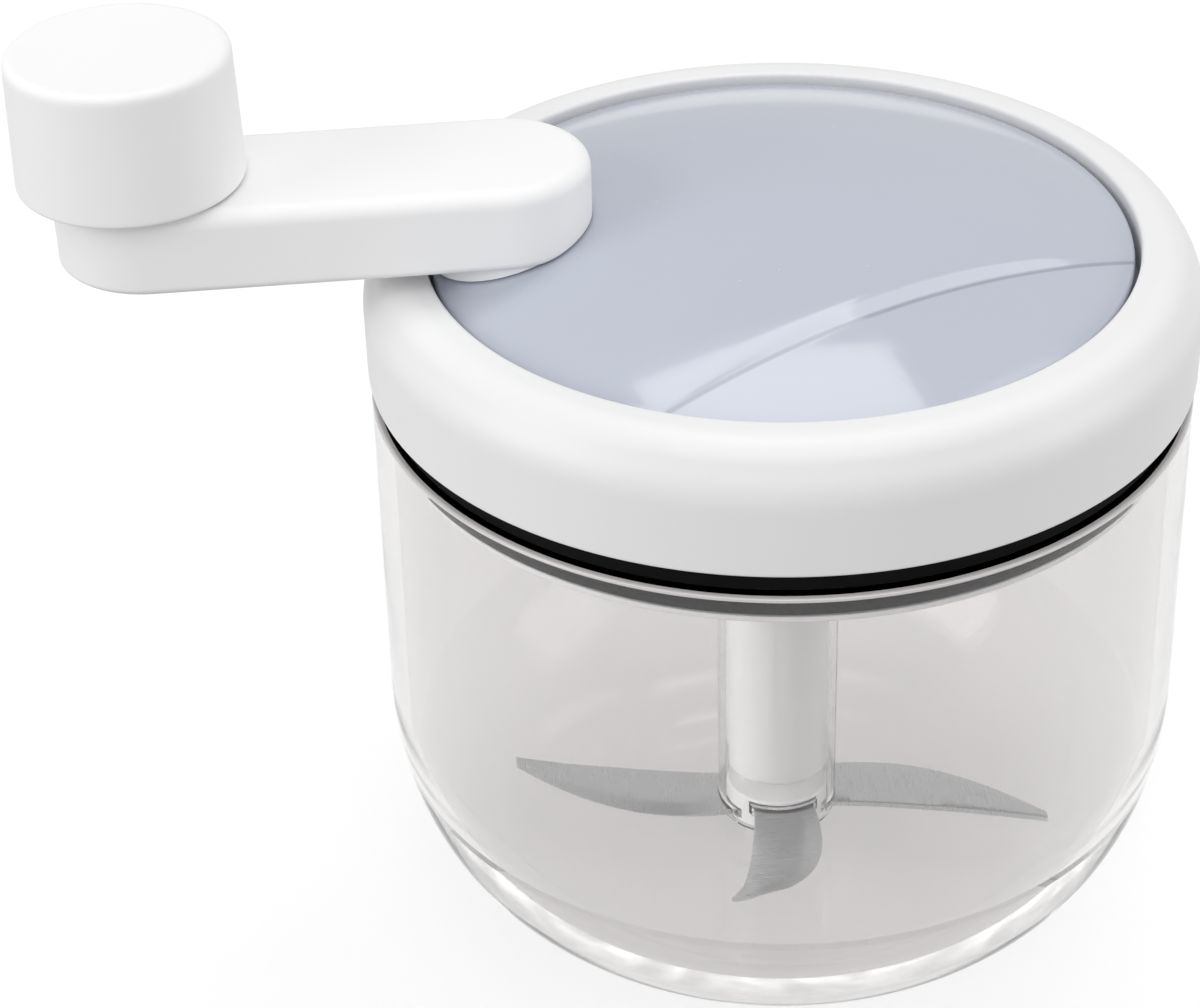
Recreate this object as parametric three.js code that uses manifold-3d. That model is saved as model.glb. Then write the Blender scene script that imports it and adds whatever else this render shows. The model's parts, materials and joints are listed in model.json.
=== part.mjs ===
// A hand-cranked food chopper: a clear bowl, a lid whose domed disc is turned by an arm and knob,
// a planetary gear train inside the lid, and a blade unit on a pin in the bowl.
// Millimetres, +Z up. The lid's axis is Z, the table is z = 0, and the arm points along -X.

import * as THREE from "three";
import { mergeVertices } from "three/addons/utils/BufferGeometryUtils.js";
import Module from "manifold-3d";

const wasm = await Module();
wasm.setup();

// Fits
const GAP = 0.3; // between pieces that seat on each other or run together
const OVERRUN = 4; // how far a cutter passes the face that it cuts

// Bowl
const BOWL_HEIGHT = 65.9;
const BOWL_RIM_INSET = 0.2; // in from the lid's wall
const BOWL_BULGE = 0.1; // out past the lid's wall
const BOWL_BELLY_HEIGHT = 28;
const BOWL_FOOT_INSET = 21; // in from the lid's wall
const BOWL_WALL = 2;
const BOWL_FLOOR = 2.5;
const BOWL_RIM_ROUND = 0.4;
const BOWL_CURVE_POWER = 2.15;
const BOWL_BOSS_RADIUS = 4.2;

// Blade unit and the pin it turns on
const COLUMN_BOTTOM = 5.4;
const COLUMN_WALL = 0.8;
const COLUMN_TO_LID = 0.8;
const CORE_BOTTOM = 12;
const CORE_TO_HUB = 2.5;
const TONGUE_HEIGHT = 5.5;
const TONGUE_WIDTH = 2.4;
const TONGUE_INSET = 1.9; // in from the core's side
const PIN_RADIUS = 1.5;
const PIN_SEAT = 1.2;
const PIN_REACH = 3.2;
const BLADE_THICKNESS = 0.8;
const BLADE_EDGE = 0.16;
const BLADE_BEVEL = 2.4;
const BLADE_ROOT_SHARE = 7 / 11.8; // of the core's width
const BLADE_SWELL = 2; // of the belly, past the root's width
const BLADE_TIP_WIDTH = 1.6;
const BLADE_SWEEP = 9;
const LOWER_BLADE_HEIGHT = 6.6;
const LOWER_BLADE_INSET = 14; // in from the lid's wall
const LOWER_BLADE_LIFT = 0;
const UPPER_BLADE_HEIGHT = 8.4;
const UPPER_BLADE_INSET = 11;
const UPPER_BLADE_LIFT = 11;

// Seal
const SEAL_FLANGE = 2.1;
const SEAL_INSET = 1.1; // in from the bowl's rim
const SEAL_LIP_DEPTH = 3.8;
const SEAL_LIP_WALL = 1.4;

// Lid ring
const LID_RADIUS = 45;
const LID_WALL = 2.4;
const LID_WALL_HEIGHT = 9.2;
const LID_CROWN_RISE = 4.6;
const LID_CROWN_LAND = 2.9;
const LID_CROWN_WALL = 1.9;
const LID_CROWN_DRAW = 2; // in from the wall's inside to the crown's
const LID_BROW_INSET = 2.1; // in from the wall, and down from the top, to where the crown's slope eases
const LID_BROW_DROP = 0.9;
const LID_BROW_ROUND = 1;
const LID_SHOULDER_ROUND = 1.5;
const LID_EDGE_ROUND = 0.5;
const LID_RING_WIDTH = 6.9; // from the wall to the disc's opening
const RETAINER_WALL = 1.5;
const RETAINER_DEPTH = 4.6;
const SNAP_HEIGHT = 1;
const SNAP_DEPTH = 0.5;
const SNAP_RAISE = 2.6;

// Lid base
const BASE_RECESS = 0.4;
const BASE_PLATE = 2;
const BASE_RIM_WALL = 1.6;
const BASE_RIM_HEIGHT = 4.6;
const SPIGOT_WALL = 1.7;
const SPIGOT_BEAD = 0.8;
const SPIGOT_BEAD_HEIGHT = 0.7;
const THRUST_RIB_WALL = 1.4;
const BEARING_WALL = 3.2;
const BEARING_DROP = 3;
const BEARING_RAISE = 1.6;
const SHAFT_SEAL_HEIGHT = 1.5;
const SHAFT_SEAL_WALL = 1.4;

// Gear train: the ring under the disc turns three idlers, and they turn the centre pinion
const PINION_TEETH = 12;
const IDLER_TEETH = 18;
const IDLER_COUNT = 3;
const GEAR_WIDTH = 4.1;
const PRESSURE_ANGLE = THREE.MathUtils.degToRad(25);
const TOOTH_TIP_SHARE = 0.9; // of the module
const TOOTH_ROOT_SHARE = 1.2; // of the module
const BACKLASH = 0.24;
const RING_GEAR_RIM = 4.3;
const RING_GEAR_CLEARANCE = 1.36; // inside the disc's skirt
const CORE_INSET = 0.22; // in from the idlers' teeth, which the core stops below
const AXLE_RADIUS = 1.5;
const AXLE_BOSS_WALL = 1.4;
const AXLE_SEAT = 1.2;
const POST_RADIUS = 2.4;
const COVER_PLATE = 1.5;
const COVER_MARGIN = 1.1;
const JOURNAL_RADIUS = 3;

// Screws
const SCREW_RADIUS = 0.8;
const SCREW_HEAD_RADIUS = 1.5;
const SCREW_HEAD_HEIGHT = 1.1;
const SCREW_GRIP = 3.4;
const SCREW_BOSS_WALL = 0.9;

// Crank disc
const DISC_GAP = 0.6;
const DISC_RECESS = 1.1;
const DISC_RISE = 7.2;
const DISC_WALL = 1.8;
const DISC_SKIRT_WALL = 1.6;
const DISC_EDGE_ROUND = 0.4;
const DISC_FLANGE = 1.2;
const DISC_FLANGE_REACH = 2.7;
const FACET_RISE = 6.3; // the flatter dome beyond the crease
const FACET_SINK = 0.15;
const CREASE_INSET = 13.6; // in from the disc's edge
const CREASE_ANGLE = THREE.MathUtils.degToRad(-66);
const CREASE_SLOPE = THREE.MathUtils.degToRad(25);

// Arm and knob
const ARM_HALF_WIDTH = 9.4;
const ARM_THICKNESS = 9;
const ARM_CLEARANCE = 2.4;
const ARM_TOP_ROUND = 1.75;
const ARM_BOTTOM_ROUND = 1;
const ARM_END_ROUND = 1;
const ARM_END_INSET = 0.95; // of the round end's centre, in from the knob's axis
const ARM_WALL = 2.5;
const ARM_TOP_WALL = 2.2;
const ARM_LEDGE = 1;
const ARM_COVER = 1.4;
const ARM_SCREW_SPREAD = 4.3;
const HUB_INSET = 0.8; // in from the arm's side
const HUB_TO_EDGE = 0.15; // in from the disc's edge
const ARM_OVERHANG = 22.7; // from the lid's wall to the knob's axis
const KNOB_LOW_RADIUS = 11.9;
const KNOB_TOP_RADIUS = 11.55;
const KNOB_HEIGHT = 14.4;
const KNOB_ROUND = 0.9;
const KNOB_WALL = 1.9;
const KNOB_TOP_WALL = 2.2;
const KNOB_BOSS_RADIUS = 4.4;
const KNOB_SCREW_RADIUS = 1.6;
const KNOB_SCREW_HEAD_RADIUS = 3.1;
const KNOB_SCREW_HEAD_HEIGHT = 1.4;
const KNOB_SCREW_GRIP = 8;
const KNOB_WASHER = 0.6;
const KNOB_BUSH_WALL = 0.9;
const KNOB_BUSH_FLANGE = 0.8;
const KNOB_BUSH_FLANGE_WIDTH = 1.2;

// Smoothness
const TURN_STEPS = 36; // facets round a large turned piece
const KNOB_STEPS = 28;
const SMALL_STEPS = 20; // round a shaft or bore
const SCREW_STEPS = 8;
const CURVE_STEPS = 7; // along a profile's curve
const FILLET_STEPS = 3;

// Heights that follow from the sizes above
const sealBottom = BOWL_HEIGHT + GAP;
const sealTop = sealBottom + SEAL_FLANGE;
const lidBottom = sealTop + GAP;
const lidShoulder = lidBottom + LID_WALL_HEIGHT;
const lidTop = lidShoulder + LID_CROWN_RISE;
const retainerBottom = lidTop - RETAINER_DEPTH;
const plateBottom = lidBottom + BASE_RECESS;
const plateTop = plateBottom + BASE_PLATE;
const bearingTop = plateTop + BEARING_RAISE;
const bearingBottom = plateBottom - BEARING_DROP;
const gearBottom = bearingTop + GAP;
const gearTop = gearBottom + GEAR_WIDTH;
const coverBottom = gearTop + GAP;
const coverTop = coverBottom + COVER_PLATE;
const discEdge = lidTop - DISC_RECESS;
const discApex = discEdge + DISC_RISE;
const flangeTop = retainerBottom - GAP;
const flangeBottom = flangeTop - DISC_FLANGE;
const thrustRibTop = flangeBottom - GAP;
const armBottom = lidTop + ARM_CLEARANCE;
const armTop = armBottom + ARM_THICKNESS;
const knobBottom = armTop + GAP;
const columnTop = bearingBottom - COLUMN_TO_LID;
const bowlBossTop = COLUMN_BOTTOM - GAP;
const hubTop = CORE_BOTTOM - CORE_TO_HUB;
const pinTop = bowlBossTop + PIN_REACH;

// Radii that follow
const bowlRimRadius = LID_RADIUS - BOWL_RIM_INSET;
const bowlBellyRadius = LID_RADIUS + BOWL_BULGE;
const bowlFootRadius = LID_RADIUS - BOWL_FOOT_INSET;
const crankRadius = LID_RADIUS + ARM_OVERHANG;
const openingRadius = LID_RADIUS - LID_RING_WIDTH;
const skirtInner = LID_RADIUS - LID_WALL;
const baseRadius = skirtInner - GAP;
const retainerOuter = openingRadius + RETAINER_WALL;
const discRadius = openingRadius - DISC_GAP;
const flangeRadius = discRadius + DISC_FLANGE_REACH;
const creaseDistance = discRadius - CREASE_INSET;
const hubRadius = ARM_HALF_WIDTH - HUB_INSET;
const hubCentre = discRadius - HUB_TO_EDGE - hubRadius;
const armInner = hubCentre + HUB_INSET;
const armOuter = crankRadius - ARM_END_INSET;
const sealLipOuter = bowlRimRadius - BOWL_WALL - GAP;
const sealInner = sealLipOuter - SEAL_LIP_WALL;
const spigotOuter = sealInner - GAP;

// The gear train fills the disc's skirt, and the core below it is as wide as the room between the idlers
const ringTeeth = PINION_TEETH + 2 * IDLER_TEETH;
const ringGearRadius = discRadius - DISC_SKIRT_WALL - RING_GEAR_CLEARANCE;
const ringRoot = ringGearRadius - RING_GEAR_RIM;
const gearModule = ringRoot / (ringTeeth / 2 + TOOTH_ROOT_SHARE);
const ringPitch = (gearModule * ringTeeth) / 2;
const ringTip = ringPitch - TOOTH_TIP_SHARE * gearModule;
const idlerCircle = (gearModule * (PINION_TEETH + IDLER_TEETH)) / 2;
const idlerTip = gearModule * (IDLER_TEETH / 2 + TOOTH_TIP_SHARE);
const ringScrewCircle = ringRoot + RING_GEAR_RIM / 2;
const coreRadius = idlerCircle - idlerTip - CORE_INSET;
const neckRadius = gearModule * (PINION_TEETH / 2 - TOOTH_ROOT_SHARE) - GAP;
const boreRadius = coreRadius + GAP;
const columnRadius = boreRadius + COLUMN_WALL;

const tongueLength = 2 * (coreRadius - TONGUE_INSET);
const bladeRootWidth = 2 * coreRadius * BLADE_ROOT_SHARE;
const lowerBladeReach = LID_RADIUS - LOWER_BLADE_INSET;
const upperBladeReach = LID_RADIUS - UPPER_BLADE_INSET;
const screwHole = SCREW_RADIUS + GAP;
const screwBoss = screwHole + SCREW_BOSS_WALL;
const knobBushInner = KNOB_SCREW_RADIUS + GAP;
const knobBushOuter = knobBushInner + KNOB_BUSH_WALL;

// Shapes

/** Turns a profile of [radius, height] points round Z: a loop, or a line with both ends on the axis. */
function turned(profile, steps = TURN_STEPS) {
  const points = profile.map(([radius, height]) => new THREE.Vector2(radius, height));
  const onAxis = profile[0][0] === 0 && profile.at(-1)[0] === 0;
  if (!onAxis) points.push(points[0].clone());
  return solid(new THREE.LatheGeometry(points, steps).rotateX(Math.PI / 2));
}

/** A round bar, or a tube where an inner radius is given, from one height to another. */
function bar(radius, low, high, steps = SMALL_STEPS, inner = 0) {
  const profile = [
    [inner, low],
    [radius, low],
    [radius, high],
    [inner, high],
  ];
  return turned(profile, steps);
}

/** An outline in the XY plane, extruded from one height to another. */
function extruded(outline, low, high, holes = []) {
  const shape = new THREE.Shape(outline);
  shape.holes = holes.map((hole) => new THREE.Path(hole));
  const settings = { depth: high - low, bevelEnabled: false };
  return solid(new THREE.ExtrudeGeometry(shape, settings).translate(0, 0, low));
}

function block(width, depth, low, high) {
  const box = new THREE.BoxGeometry(width, depth, high - low);
  return solid(box.translate(0, 0, (low + high) / 2));
}

/** A skin over rings of points, all of one count, closed at both ends by a fan round each end's middle. */
function lofted(rings) {
  const count = rings[0].length;
  const positions = rings.flat().flatMap((point) => [point.x, point.y, point.z]);
  const index = [];
  for (let ring = 0; ring + 1 < rings.length; ring += 1) {
    for (let side = 0; side < count; side += 1) {
      const here = ring * count + side;
      const next = ring * count + ((side + 1) % count);
      index.push(here, next, next + count, here, next + count, here + count);
    }
  }
  for (const [ring, turn] of [
    [0, 1],
    [rings.length - 1, 0],
  ]) {
    const middle = new THREE.Vector3();
    for (const point of rings[ring]) middle.addScaledVector(point, 1 / count);
    const centre = positions.length / 3;
    positions.push(middle.x, middle.y, middle.z);
    for (let side = 0; side < count; side += 1) {
      const here = ring * count + side;
      const next = ring * count + ((side + 1) % count);
      index.push(centre, turn ? next : here, turn ? here : next);
    }
  }
  const geometry = new THREE.BufferGeometry();
  geometry.setAttribute("position", new THREE.Float32BufferAttribute(positions, 3));
  geometry.setIndex(index);
  return solid(geometry);
}

/** Makes a closed geometry a solid whose faces point out. */
function solid(geometry) {
  geometry.deleteAttribute("normal");
  geometry.deleteAttribute("uv");
  const merged = mergeVertices(geometry);
  const vertProperties = new Float32Array(merged.attributes.position.array);
  const triVerts = new Uint32Array(merged.index.array);
  if (signedVolume(vertProperties, triVerts) < 0) triVerts.reverse();
  return new wasm.Manifold(new wasm.Mesh({ numProp: 3, vertProperties, triVerts }));
}

function signedVolume(positions, index) {
  const corner = [0, 1, 2].map(() => new THREE.Vector3());
  let sum = 0;
  for (let first = 0; first < index.length; first += 3) {
    corner.forEach((point, at) => point.fromArray(positions, 3 * index[first + at]));
    sum += corner[0].dot(corner[1].clone().cross(corner[2]));
  }
  return sum;
}

function union(solids) {
  return solids.reduce((whole, piece) => whole.add(piece));
}

function placed(shape, x, y, z = 0) {
  return shape.translate([x, y, z]);
}

/** Places copies of a shape evenly on a circle round Z, and returns them in a list. */
function circled(shape, radius, count, start = 0) {
  return Array.from({ length: count }, (_, number) => {
    const angle = start + (number * 2 * Math.PI) / count;
    return placed(shape, radius * Math.cos(angle), radius * Math.sin(angle));
  });
}

/** Points on a rounded edge: a quarter of an ellipse between two points, bulging to the corner. */
function rounded(from, corner, to, steps = FILLET_STEPS) {
  const a = new THREE.Vector2(...from);
  const b = new THREE.Vector2(...to);
  const middle = new THREE.Vector2(...corner);
  const centre = a.clone().add(b).sub(middle);
  return Array.from({ length: steps + 1 }, (_, step) => {
    const angle = (step / steps) * (Math.PI / 2);
    const point = centre.clone();
    point.addScaledVector(a.clone().sub(centre), Math.cos(angle));
    point.addScaledVector(b.clone().sub(centre), Math.sin(angle));
    return point.toArray();
  });
}

/** A bowl's curved bottom: a superellipse from the foot's edge to the belly. */
function bellyCurve(footRadius, footHeight, bellyRadius, bellyHeight) {
  const power = 2 / BOWL_CURVE_POWER;
  return Array.from({ length: CURVE_STEPS + 1 }, (_, step) => {
    const angle = (step / CURVE_STEPS) * (Math.PI / 2);
    const out = Math.sin(angle) ** power;
    const up = 1 - Math.cos(angle) ** power;
    return [footRadius + out * (bellyRadius - footRadius), footHeight + up * (bellyHeight - footHeight)];
  });
}

/** Height of a spherical dome at a radius, from its apex and the rise above its edge. */
function domeHeight(radius, apex = discApex, rise = DISC_RISE) {
  const sphere = (discRadius ** 2 + rise ** 2) / (2 * rise);
  return apex - sphere + Math.sqrt(sphere ** 2 - radius ** 2);
}

function domeCurve(edge, lift) {
  return Array.from({ length: CURVE_STEPS + 1 }, (_, step) => {
    const radius = (edge * step) / CURVE_STEPS;
    return [radius, domeHeight(radius) + lift];
  });
}

/** Half the angle that a gear tooth fills at a radius, on an involute flank. */
function halfToothAngle(radius, pitch, thickness) {
  const base = pitch * Math.cos(PRESSURE_ANGLE);
  const flank = Math.acos(Math.min(1, base / radius));
  const involute = (angle) => Math.tan(angle) - angle;
  return thickness / (2 * pitch) + involute(PRESSURE_ANGLE) - involute(flank);
}

/** A gear's outline. A tooth is centred on the start angle, and the play thins each tooth. */
function gearOutline(teeth, tipShare, rootShare, play, start) {
  const pitch = (gearModule * teeth) / 2;
  const thickness = (Math.PI * gearModule) / 2 - play;
  const root = pitch - rootShare * gearModule;
  const tip = pitch + tipShare * gearModule;
  const flank = [root, pitch, tip].map((radius) => [radius, halfToothAngle(radius, pitch, thickness)]);
  const outline = [];
  for (let tooth = 0; tooth < teeth; tooth += 1) {
    const centre = start + (tooth * 2 * Math.PI) / teeth;
    for (const [radius, half] of flank) outline.push(polar(radius, centre - half));
    for (const [radius, half] of flank.toReversed()) outline.push(polar(radius, centre + half));
  }
  return outline;
}

function polar(radius, angle) {
  return new THREE.Vector2(radius * Math.cos(angle), radius * Math.sin(angle));
}

function circle(radius, steps = SMALL_STEPS) {
  return Array.from({ length: steps }, (_, step) => polar(radius, (step * 2 * Math.PI) / steps));
}

/** A screw that points up, its head's underside at z = 0 and its shank above. */
function screw(length, radius = SCREW_RADIUS, headRadius = SCREW_HEAD_RADIUS, head = SCREW_HEAD_HEIGHT) {
  const profile = [
    [0, -head],
    [headRadius - head / 3, -head],
    [headRadius, -head / 2],
    [headRadius, 0],
    [radius, 0],
    [radius, length - radius],
    [radius / 3, length],
    [0, length],
  ];
  return turned(profile, SCREW_STEPS);
}

// Pieces of the bowl

function bowl() {
  const rimInner = bowlRimRadius - BOWL_WALL;
  const outside = bellyCurve(bowlFootRadius, 0, bowlBellyRadius, BOWL_BELLY_HEIGHT);
  const inside = bellyCurve(
    bowlFootRadius - BOWL_WALL,
    BOWL_FLOOR,
    bowlBellyRadius - BOWL_WALL,
    BOWL_BELLY_HEIGHT,
  );
  const profile = [
    [0, 0],
    ...outside,
    [bowlRimRadius, BOWL_HEIGHT - BOWL_RIM_ROUND],
    [bowlRimRadius - BOWL_RIM_ROUND, BOWL_HEIGHT],
    [rimInner + BOWL_RIM_ROUND, BOWL_HEIGHT],
    [rimInner, BOWL_HEIGHT - BOWL_RIM_ROUND],
    ...inside.toReversed(),
    [BOWL_BOSS_RADIUS + BOWL_WALL, BOWL_FLOOR],
    [BOWL_BOSS_RADIUS, bowlBossTop],
    [PIN_RADIUS + GAP, bowlBossTop],
    [PIN_RADIUS + GAP, PIN_SEAT],
    [0, PIN_SEAT],
  ];
  return turned(profile);
}

function pivotPin() {
  const bottom = PIN_SEAT + GAP;
  const nose = PIN_RADIUS / 2;
  const profile = [
    [0, bottom],
    [PIN_RADIUS, bottom],
    [PIN_RADIUS, pinTop - nose],
    [nose, pinTop],
    [0, pinTop],
  ];
  return turned(profile, SMALL_STEPS);
}

// Pieces of the blade unit

/** The slot that a blade's root passes through, along X, at a blade's height. */
function bladeSlot(height) {
  const reach = BLADE_THICKNESS / 2 + GAP;
  return block(2 * (columnRadius + OVERRUN), bladeRootWidth + 2 * GAP, height - reach, height + reach);
}

function bladeSlots() {
  return bladeSlot(LOWER_BLADE_HEIGHT).add(bladeSlot(UPPER_BLADE_HEIGHT).rotate([0, 0, 90]));
}

function column() {
  const tube = bar(columnRadius, COLUMN_BOTTOM, columnTop, SMALL_STEPS, boreRadius);
  return tube.subtract(bladeSlots());
}

function bladeHub() {
  const plug = bar(coreRadius, COLUMN_BOTTOM, hubTop);
  const tongue = block(tongueLength, TONGUE_WIDTH, hubTop - GAP, hubTop + TONGUE_HEIGHT);
  const bore = bar(PIN_RADIUS + GAP, COLUMN_BOTTOM - OVERRUN, pinTop + GAP);
  return plug.add(tongue).subtract(bore).subtract(bladeSlots());
}

/**
 * A blade of one strip, tip to tip through the hub. Its middle line is swept back as the square of
 * the distance out, it rises towards both tips by the lift, and each wing's leading edge is ground.
 */
function blade(height, reach, lift) {
  const stations = 2 * CURVE_STEPS + 2;
  const root = coreRadius / reach;
  const rings = Array.from({ length: stations + 1 }, (_, station) => {
    const along = (2 * station) / stations - 1;
    const out = Math.abs(along);
    const side = Math.sign(along);
    const wing = Math.max(0, (out - root) / (1 - root));
    const belly = Math.sin(Math.PI * Math.min(1, wing));
    const taper = THREE.MathUtils.lerp(bladeRootWidth, BLADE_TIP_WIDTH, wing ** 2);
    const width = taper + belly * BLADE_SWELL;
    const bevel = Math.min(BLADE_BEVEL, width / 3);
    const middle = -side * BLADE_SWEEP * wing ** 2;
    const level = height + lift * wing ** 2;
    const ground = THREE.MathUtils.lerp(BLADE_THICKNESS, BLADE_EDGE, Math.min(1, 4 * wing));
    const low = side < 0 ? ground : BLADE_THICKNESS;
    const high = side > 0 ? ground : BLADE_THICKNESS;
    const section = [
      [-width / 2, low / 2],
      [-width / 2 + bevel, BLADE_THICKNESS / 2],
      [width / 2 - bevel, BLADE_THICKNESS / 2],
      [width / 2, high / 2],
    ];
    const at = (across, up) => new THREE.Vector3(along * reach, middle + across, level + up);
    const top = section.map(([across, half]) => at(across, half));
    const bottom = section.map(([across, half]) => at(across, -half));
    return [...top, ...bottom.toReversed()];
  });
  const hole = bar(PIN_RADIUS + 2 * GAP, height - OVERRUN, height + OVERRUN, SMALL_STEPS);
  return lofted(rings).subtract(hole);
}

// Pieces of the lid

/** The seal: a flange between the lid and the bowl's rim, and a lip that grips inside the bowl. */
function sealRing() {
  const lipBottom = sealBottom - SEAL_LIP_DEPTH;
  const profile = [
    [sealInner, lipBottom + GAP],
    [sealInner + SEAL_LIP_WALL / 2, lipBottom],
    [sealLipOuter, lipBottom + SEAL_LIP_WALL],
    [sealLipOuter, sealBottom],
    [bowlRimRadius - SEAL_INSET, sealBottom],
    [bowlRimRadius - SEAL_INSET, sealTop],
    [sealInner, sealTop],
  ];
  return turned(profile);
}

/** The ring's crown: round off the wall, up a steep slope, and over its brow to the land. */
function crownCurve() {
  const corners = [
    [LID_RADIUS, lidBottom],
    [LID_RADIUS, lidShoulder, LID_SHOULDER_ROUND],
    [LID_RADIUS - LID_BROW_INSET, lidTop - LID_BROW_DROP, LID_BROW_ROUND],
    [openingRadius + LID_CROWN_LAND, lidTop, LID_BROW_ROUND],
    [openingRadius, lidTop],
  ];
  return corners.slice(1, -1).flatMap(([radius, height, round], number) => {
    const corner = new THREE.Vector2(radius, height);
    const [before, after] = [corners[number], corners[number + 2]].map(([x, y]) => {
      const step = new THREE.Vector2(x, y).sub(corner).setLength(round);
      return corner.clone().add(step).toArray();
    });
    return rounded(before, [radius, height], after);
  });
}

function lidRing() {
  const snapLow = plateTop + SNAP_RAISE - GAP;
  const snapHigh = plateTop + SNAP_RAISE + SNAP_HEIGHT + GAP;
  const groove = skirtInner + SNAP_DEPTH + GAP / 2;
  const innerTop = lidTop - LID_CROWN_WALL;
  const profile = [
    [skirtInner, lidBottom],
    [LID_RADIUS, lidBottom],
    ...crownCurve(),
    ...rounded(
      [openingRadius + LID_EDGE_ROUND, lidTop],
      [openingRadius, lidTop],
      [openingRadius, lidTop - LID_EDGE_ROUND],
    ),
    [openingRadius, retainerBottom],
    [retainerOuter, retainerBottom],
    [retainerOuter, innerTop],
    [skirtInner - LID_CROWN_DRAW, innerTop],
    [skirtInner, lidShoulder],
    [skirtInner, snapHigh],
    [groove, snapHigh],
    [groove, snapLow],
    [skirtInner, snapLow],
  ];
  return turned(profile);
}

/** The base: a floor with the spigot for the seal, the rib under the disc, and the gears' seats. */
function lidBase() {
  const rimInner = baseRadius - BASE_RIM_WALL;
  const spigotInner = spigotOuter - SPIGOT_WALL;
  const spigotBottom = sealBottom - SEAL_LIP_DEPTH - GAP - SPIGOT_BEAD_HEIGHT;
  const snapLow = plateTop + SNAP_RAISE;
  const snapHigh = snapLow + SNAP_HEIGHT;
  const ribOuter = flangeRadius - GAP;
  const ribInner = ribOuter - THRUST_RIB_WALL;
  const bearingOuter = boreRadius + BEARING_WALL;
  const profile = [
    [boreRadius, bearingBottom],
    [bearingOuter, bearingBottom],
    [bearingOuter, plateBottom],
    [spigotInner, plateBottom],
    [spigotInner, spigotBottom],
    [spigotOuter + SPIGOT_BEAD, spigotBottom],
    [spigotOuter + SPIGOT_BEAD, spigotBottom + SPIGOT_BEAD_HEIGHT],
    [spigotOuter, spigotBottom + SPIGOT_BEAD_HEIGHT],
    [spigotOuter, plateBottom],
    [baseRadius, plateBottom],
    [baseRadius, snapLow],
    [baseRadius + SNAP_DEPTH, (snapLow + snapHigh) / 2],
    [baseRadius, snapHigh],
    [baseRadius, plateTop + BASE_RIM_HEIGHT],
    [rimInner, plateTop + BASE_RIM_HEIGHT],
    [rimInner, plateTop],
    [ribOuter, plateTop],
    [ribOuter, thrustRibTop],
    [ribInner, thrustRibTop],
    [ribInner, plateTop],
    [bearingOuter, plateTop],
    [bearingOuter, bearingTop],
    [boreRadius, bearingTop],
  ];
  const sealPocketTop = bearingBottom + SHAFT_SEAL_HEIGHT + GAP;
  const sealPocket = bar(boreRadius + SHAFT_SEAL_WALL, bearingBottom - OVERRUN, sealPocketTop);
  const axleBoss = bar(AXLE_RADIUS + GAP + AXLE_BOSS_WALL, plateTop - GAP, bearingTop);
  const axleBore = bar(AXLE_RADIUS + GAP, plateTop - AXLE_SEAT, bearingTop + OVERRUN);
  const post = bar(POST_RADIUS, plateTop - GAP, coverBottom - GAP, SMALL_STEPS / 2);
  const postBore = bar(screwHole, coverBottom - SCREW_GRIP - 2 * GAP, coverBottom + OVERRUN, SCREW_STEPS);
  return turned(profile)
    .subtract(sealPocket)
    .add(union(circled(axleBoss, idlerCircle, IDLER_COUNT)))
    .subtract(union(circled(axleBore, idlerCircle, IDLER_COUNT)))
    .add(union(circled(post, idlerCircle, IDLER_COUNT, Math.PI / IDLER_COUNT)))
    .subtract(union(circled(postBore, idlerCircle, IDLER_COUNT, Math.PI / IDLER_COUNT)));
}

function shaftSeal() {
  const low = bearingBottom + GAP / 2;
  const outer = boreRadius + SHAFT_SEAL_WALL - GAP;
  return bar(outer, low, low + SHAFT_SEAL_HEIGHT - GAP, SMALL_STEPS, coreRadius + GAP / 2);
}

/** The plate over the gears. It holds the axles' upper ends and the pinion's journal. */
function gearCover() {
  const plate = bar(ringTip - COVER_MARGIN, coverBottom, coverTop, TURN_STEPS, JOURNAL_RADIUS + GAP);
  const axleHole = bar(AXLE_RADIUS + GAP, coverBottom - OVERRUN, coverTop + OVERRUN);
  const hole = bar(screwHole, coverBottom - OVERRUN, coverTop + OVERRUN, SCREW_STEPS);
  return plate
    .subtract(union(circled(axleHole, idlerCircle, IDLER_COUNT)))
    .subtract(union(circled(hole, idlerCircle, IDLER_COUNT, Math.PI / IDLER_COUNT)));
}

// Pieces of the gear train

function idlerGear() {
  const facing = Math.PI / IDLER_TEETH;
  const outline = gearOutline(IDLER_TEETH, TOOTH_TIP_SHARE, TOOTH_ROOT_SHARE, BACKLASH, facing);
  return extruded(outline, gearBottom, gearTop, [circle(AXLE_RADIUS + GAP)]);
}

function idlerAxle() {
  return bar(AXLE_RADIUS, plateTop - AXLE_SEAT + GAP, coverTop - GAP);
}

/** The ring gear: its inner outline is that of a gear whose teeth are its spaces. */
function ringGear() {
  const spaces = gearOutline(ringTeeth, TOOTH_ROOT_SHARE, TOOTH_TIP_SHARE, -BACKLASH, Math.PI / ringTeeth);
  const ring = extruded(circle(ringGearRadius, TURN_STEPS), gearBottom, gearTop, [spaces]);
  const hole = bar(screwHole, gearBottom - OVERRUN, gearTop + OVERRUN, SCREW_STEPS);
  return ring.subtract(union(ringScrewPlaces(hole)));
}

function ringScrewPlaces(shape) {
  return circled(shape, ringScrewCircle, IDLER_COUNT, Math.PI / 2 / IDLER_COUNT);
}

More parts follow.
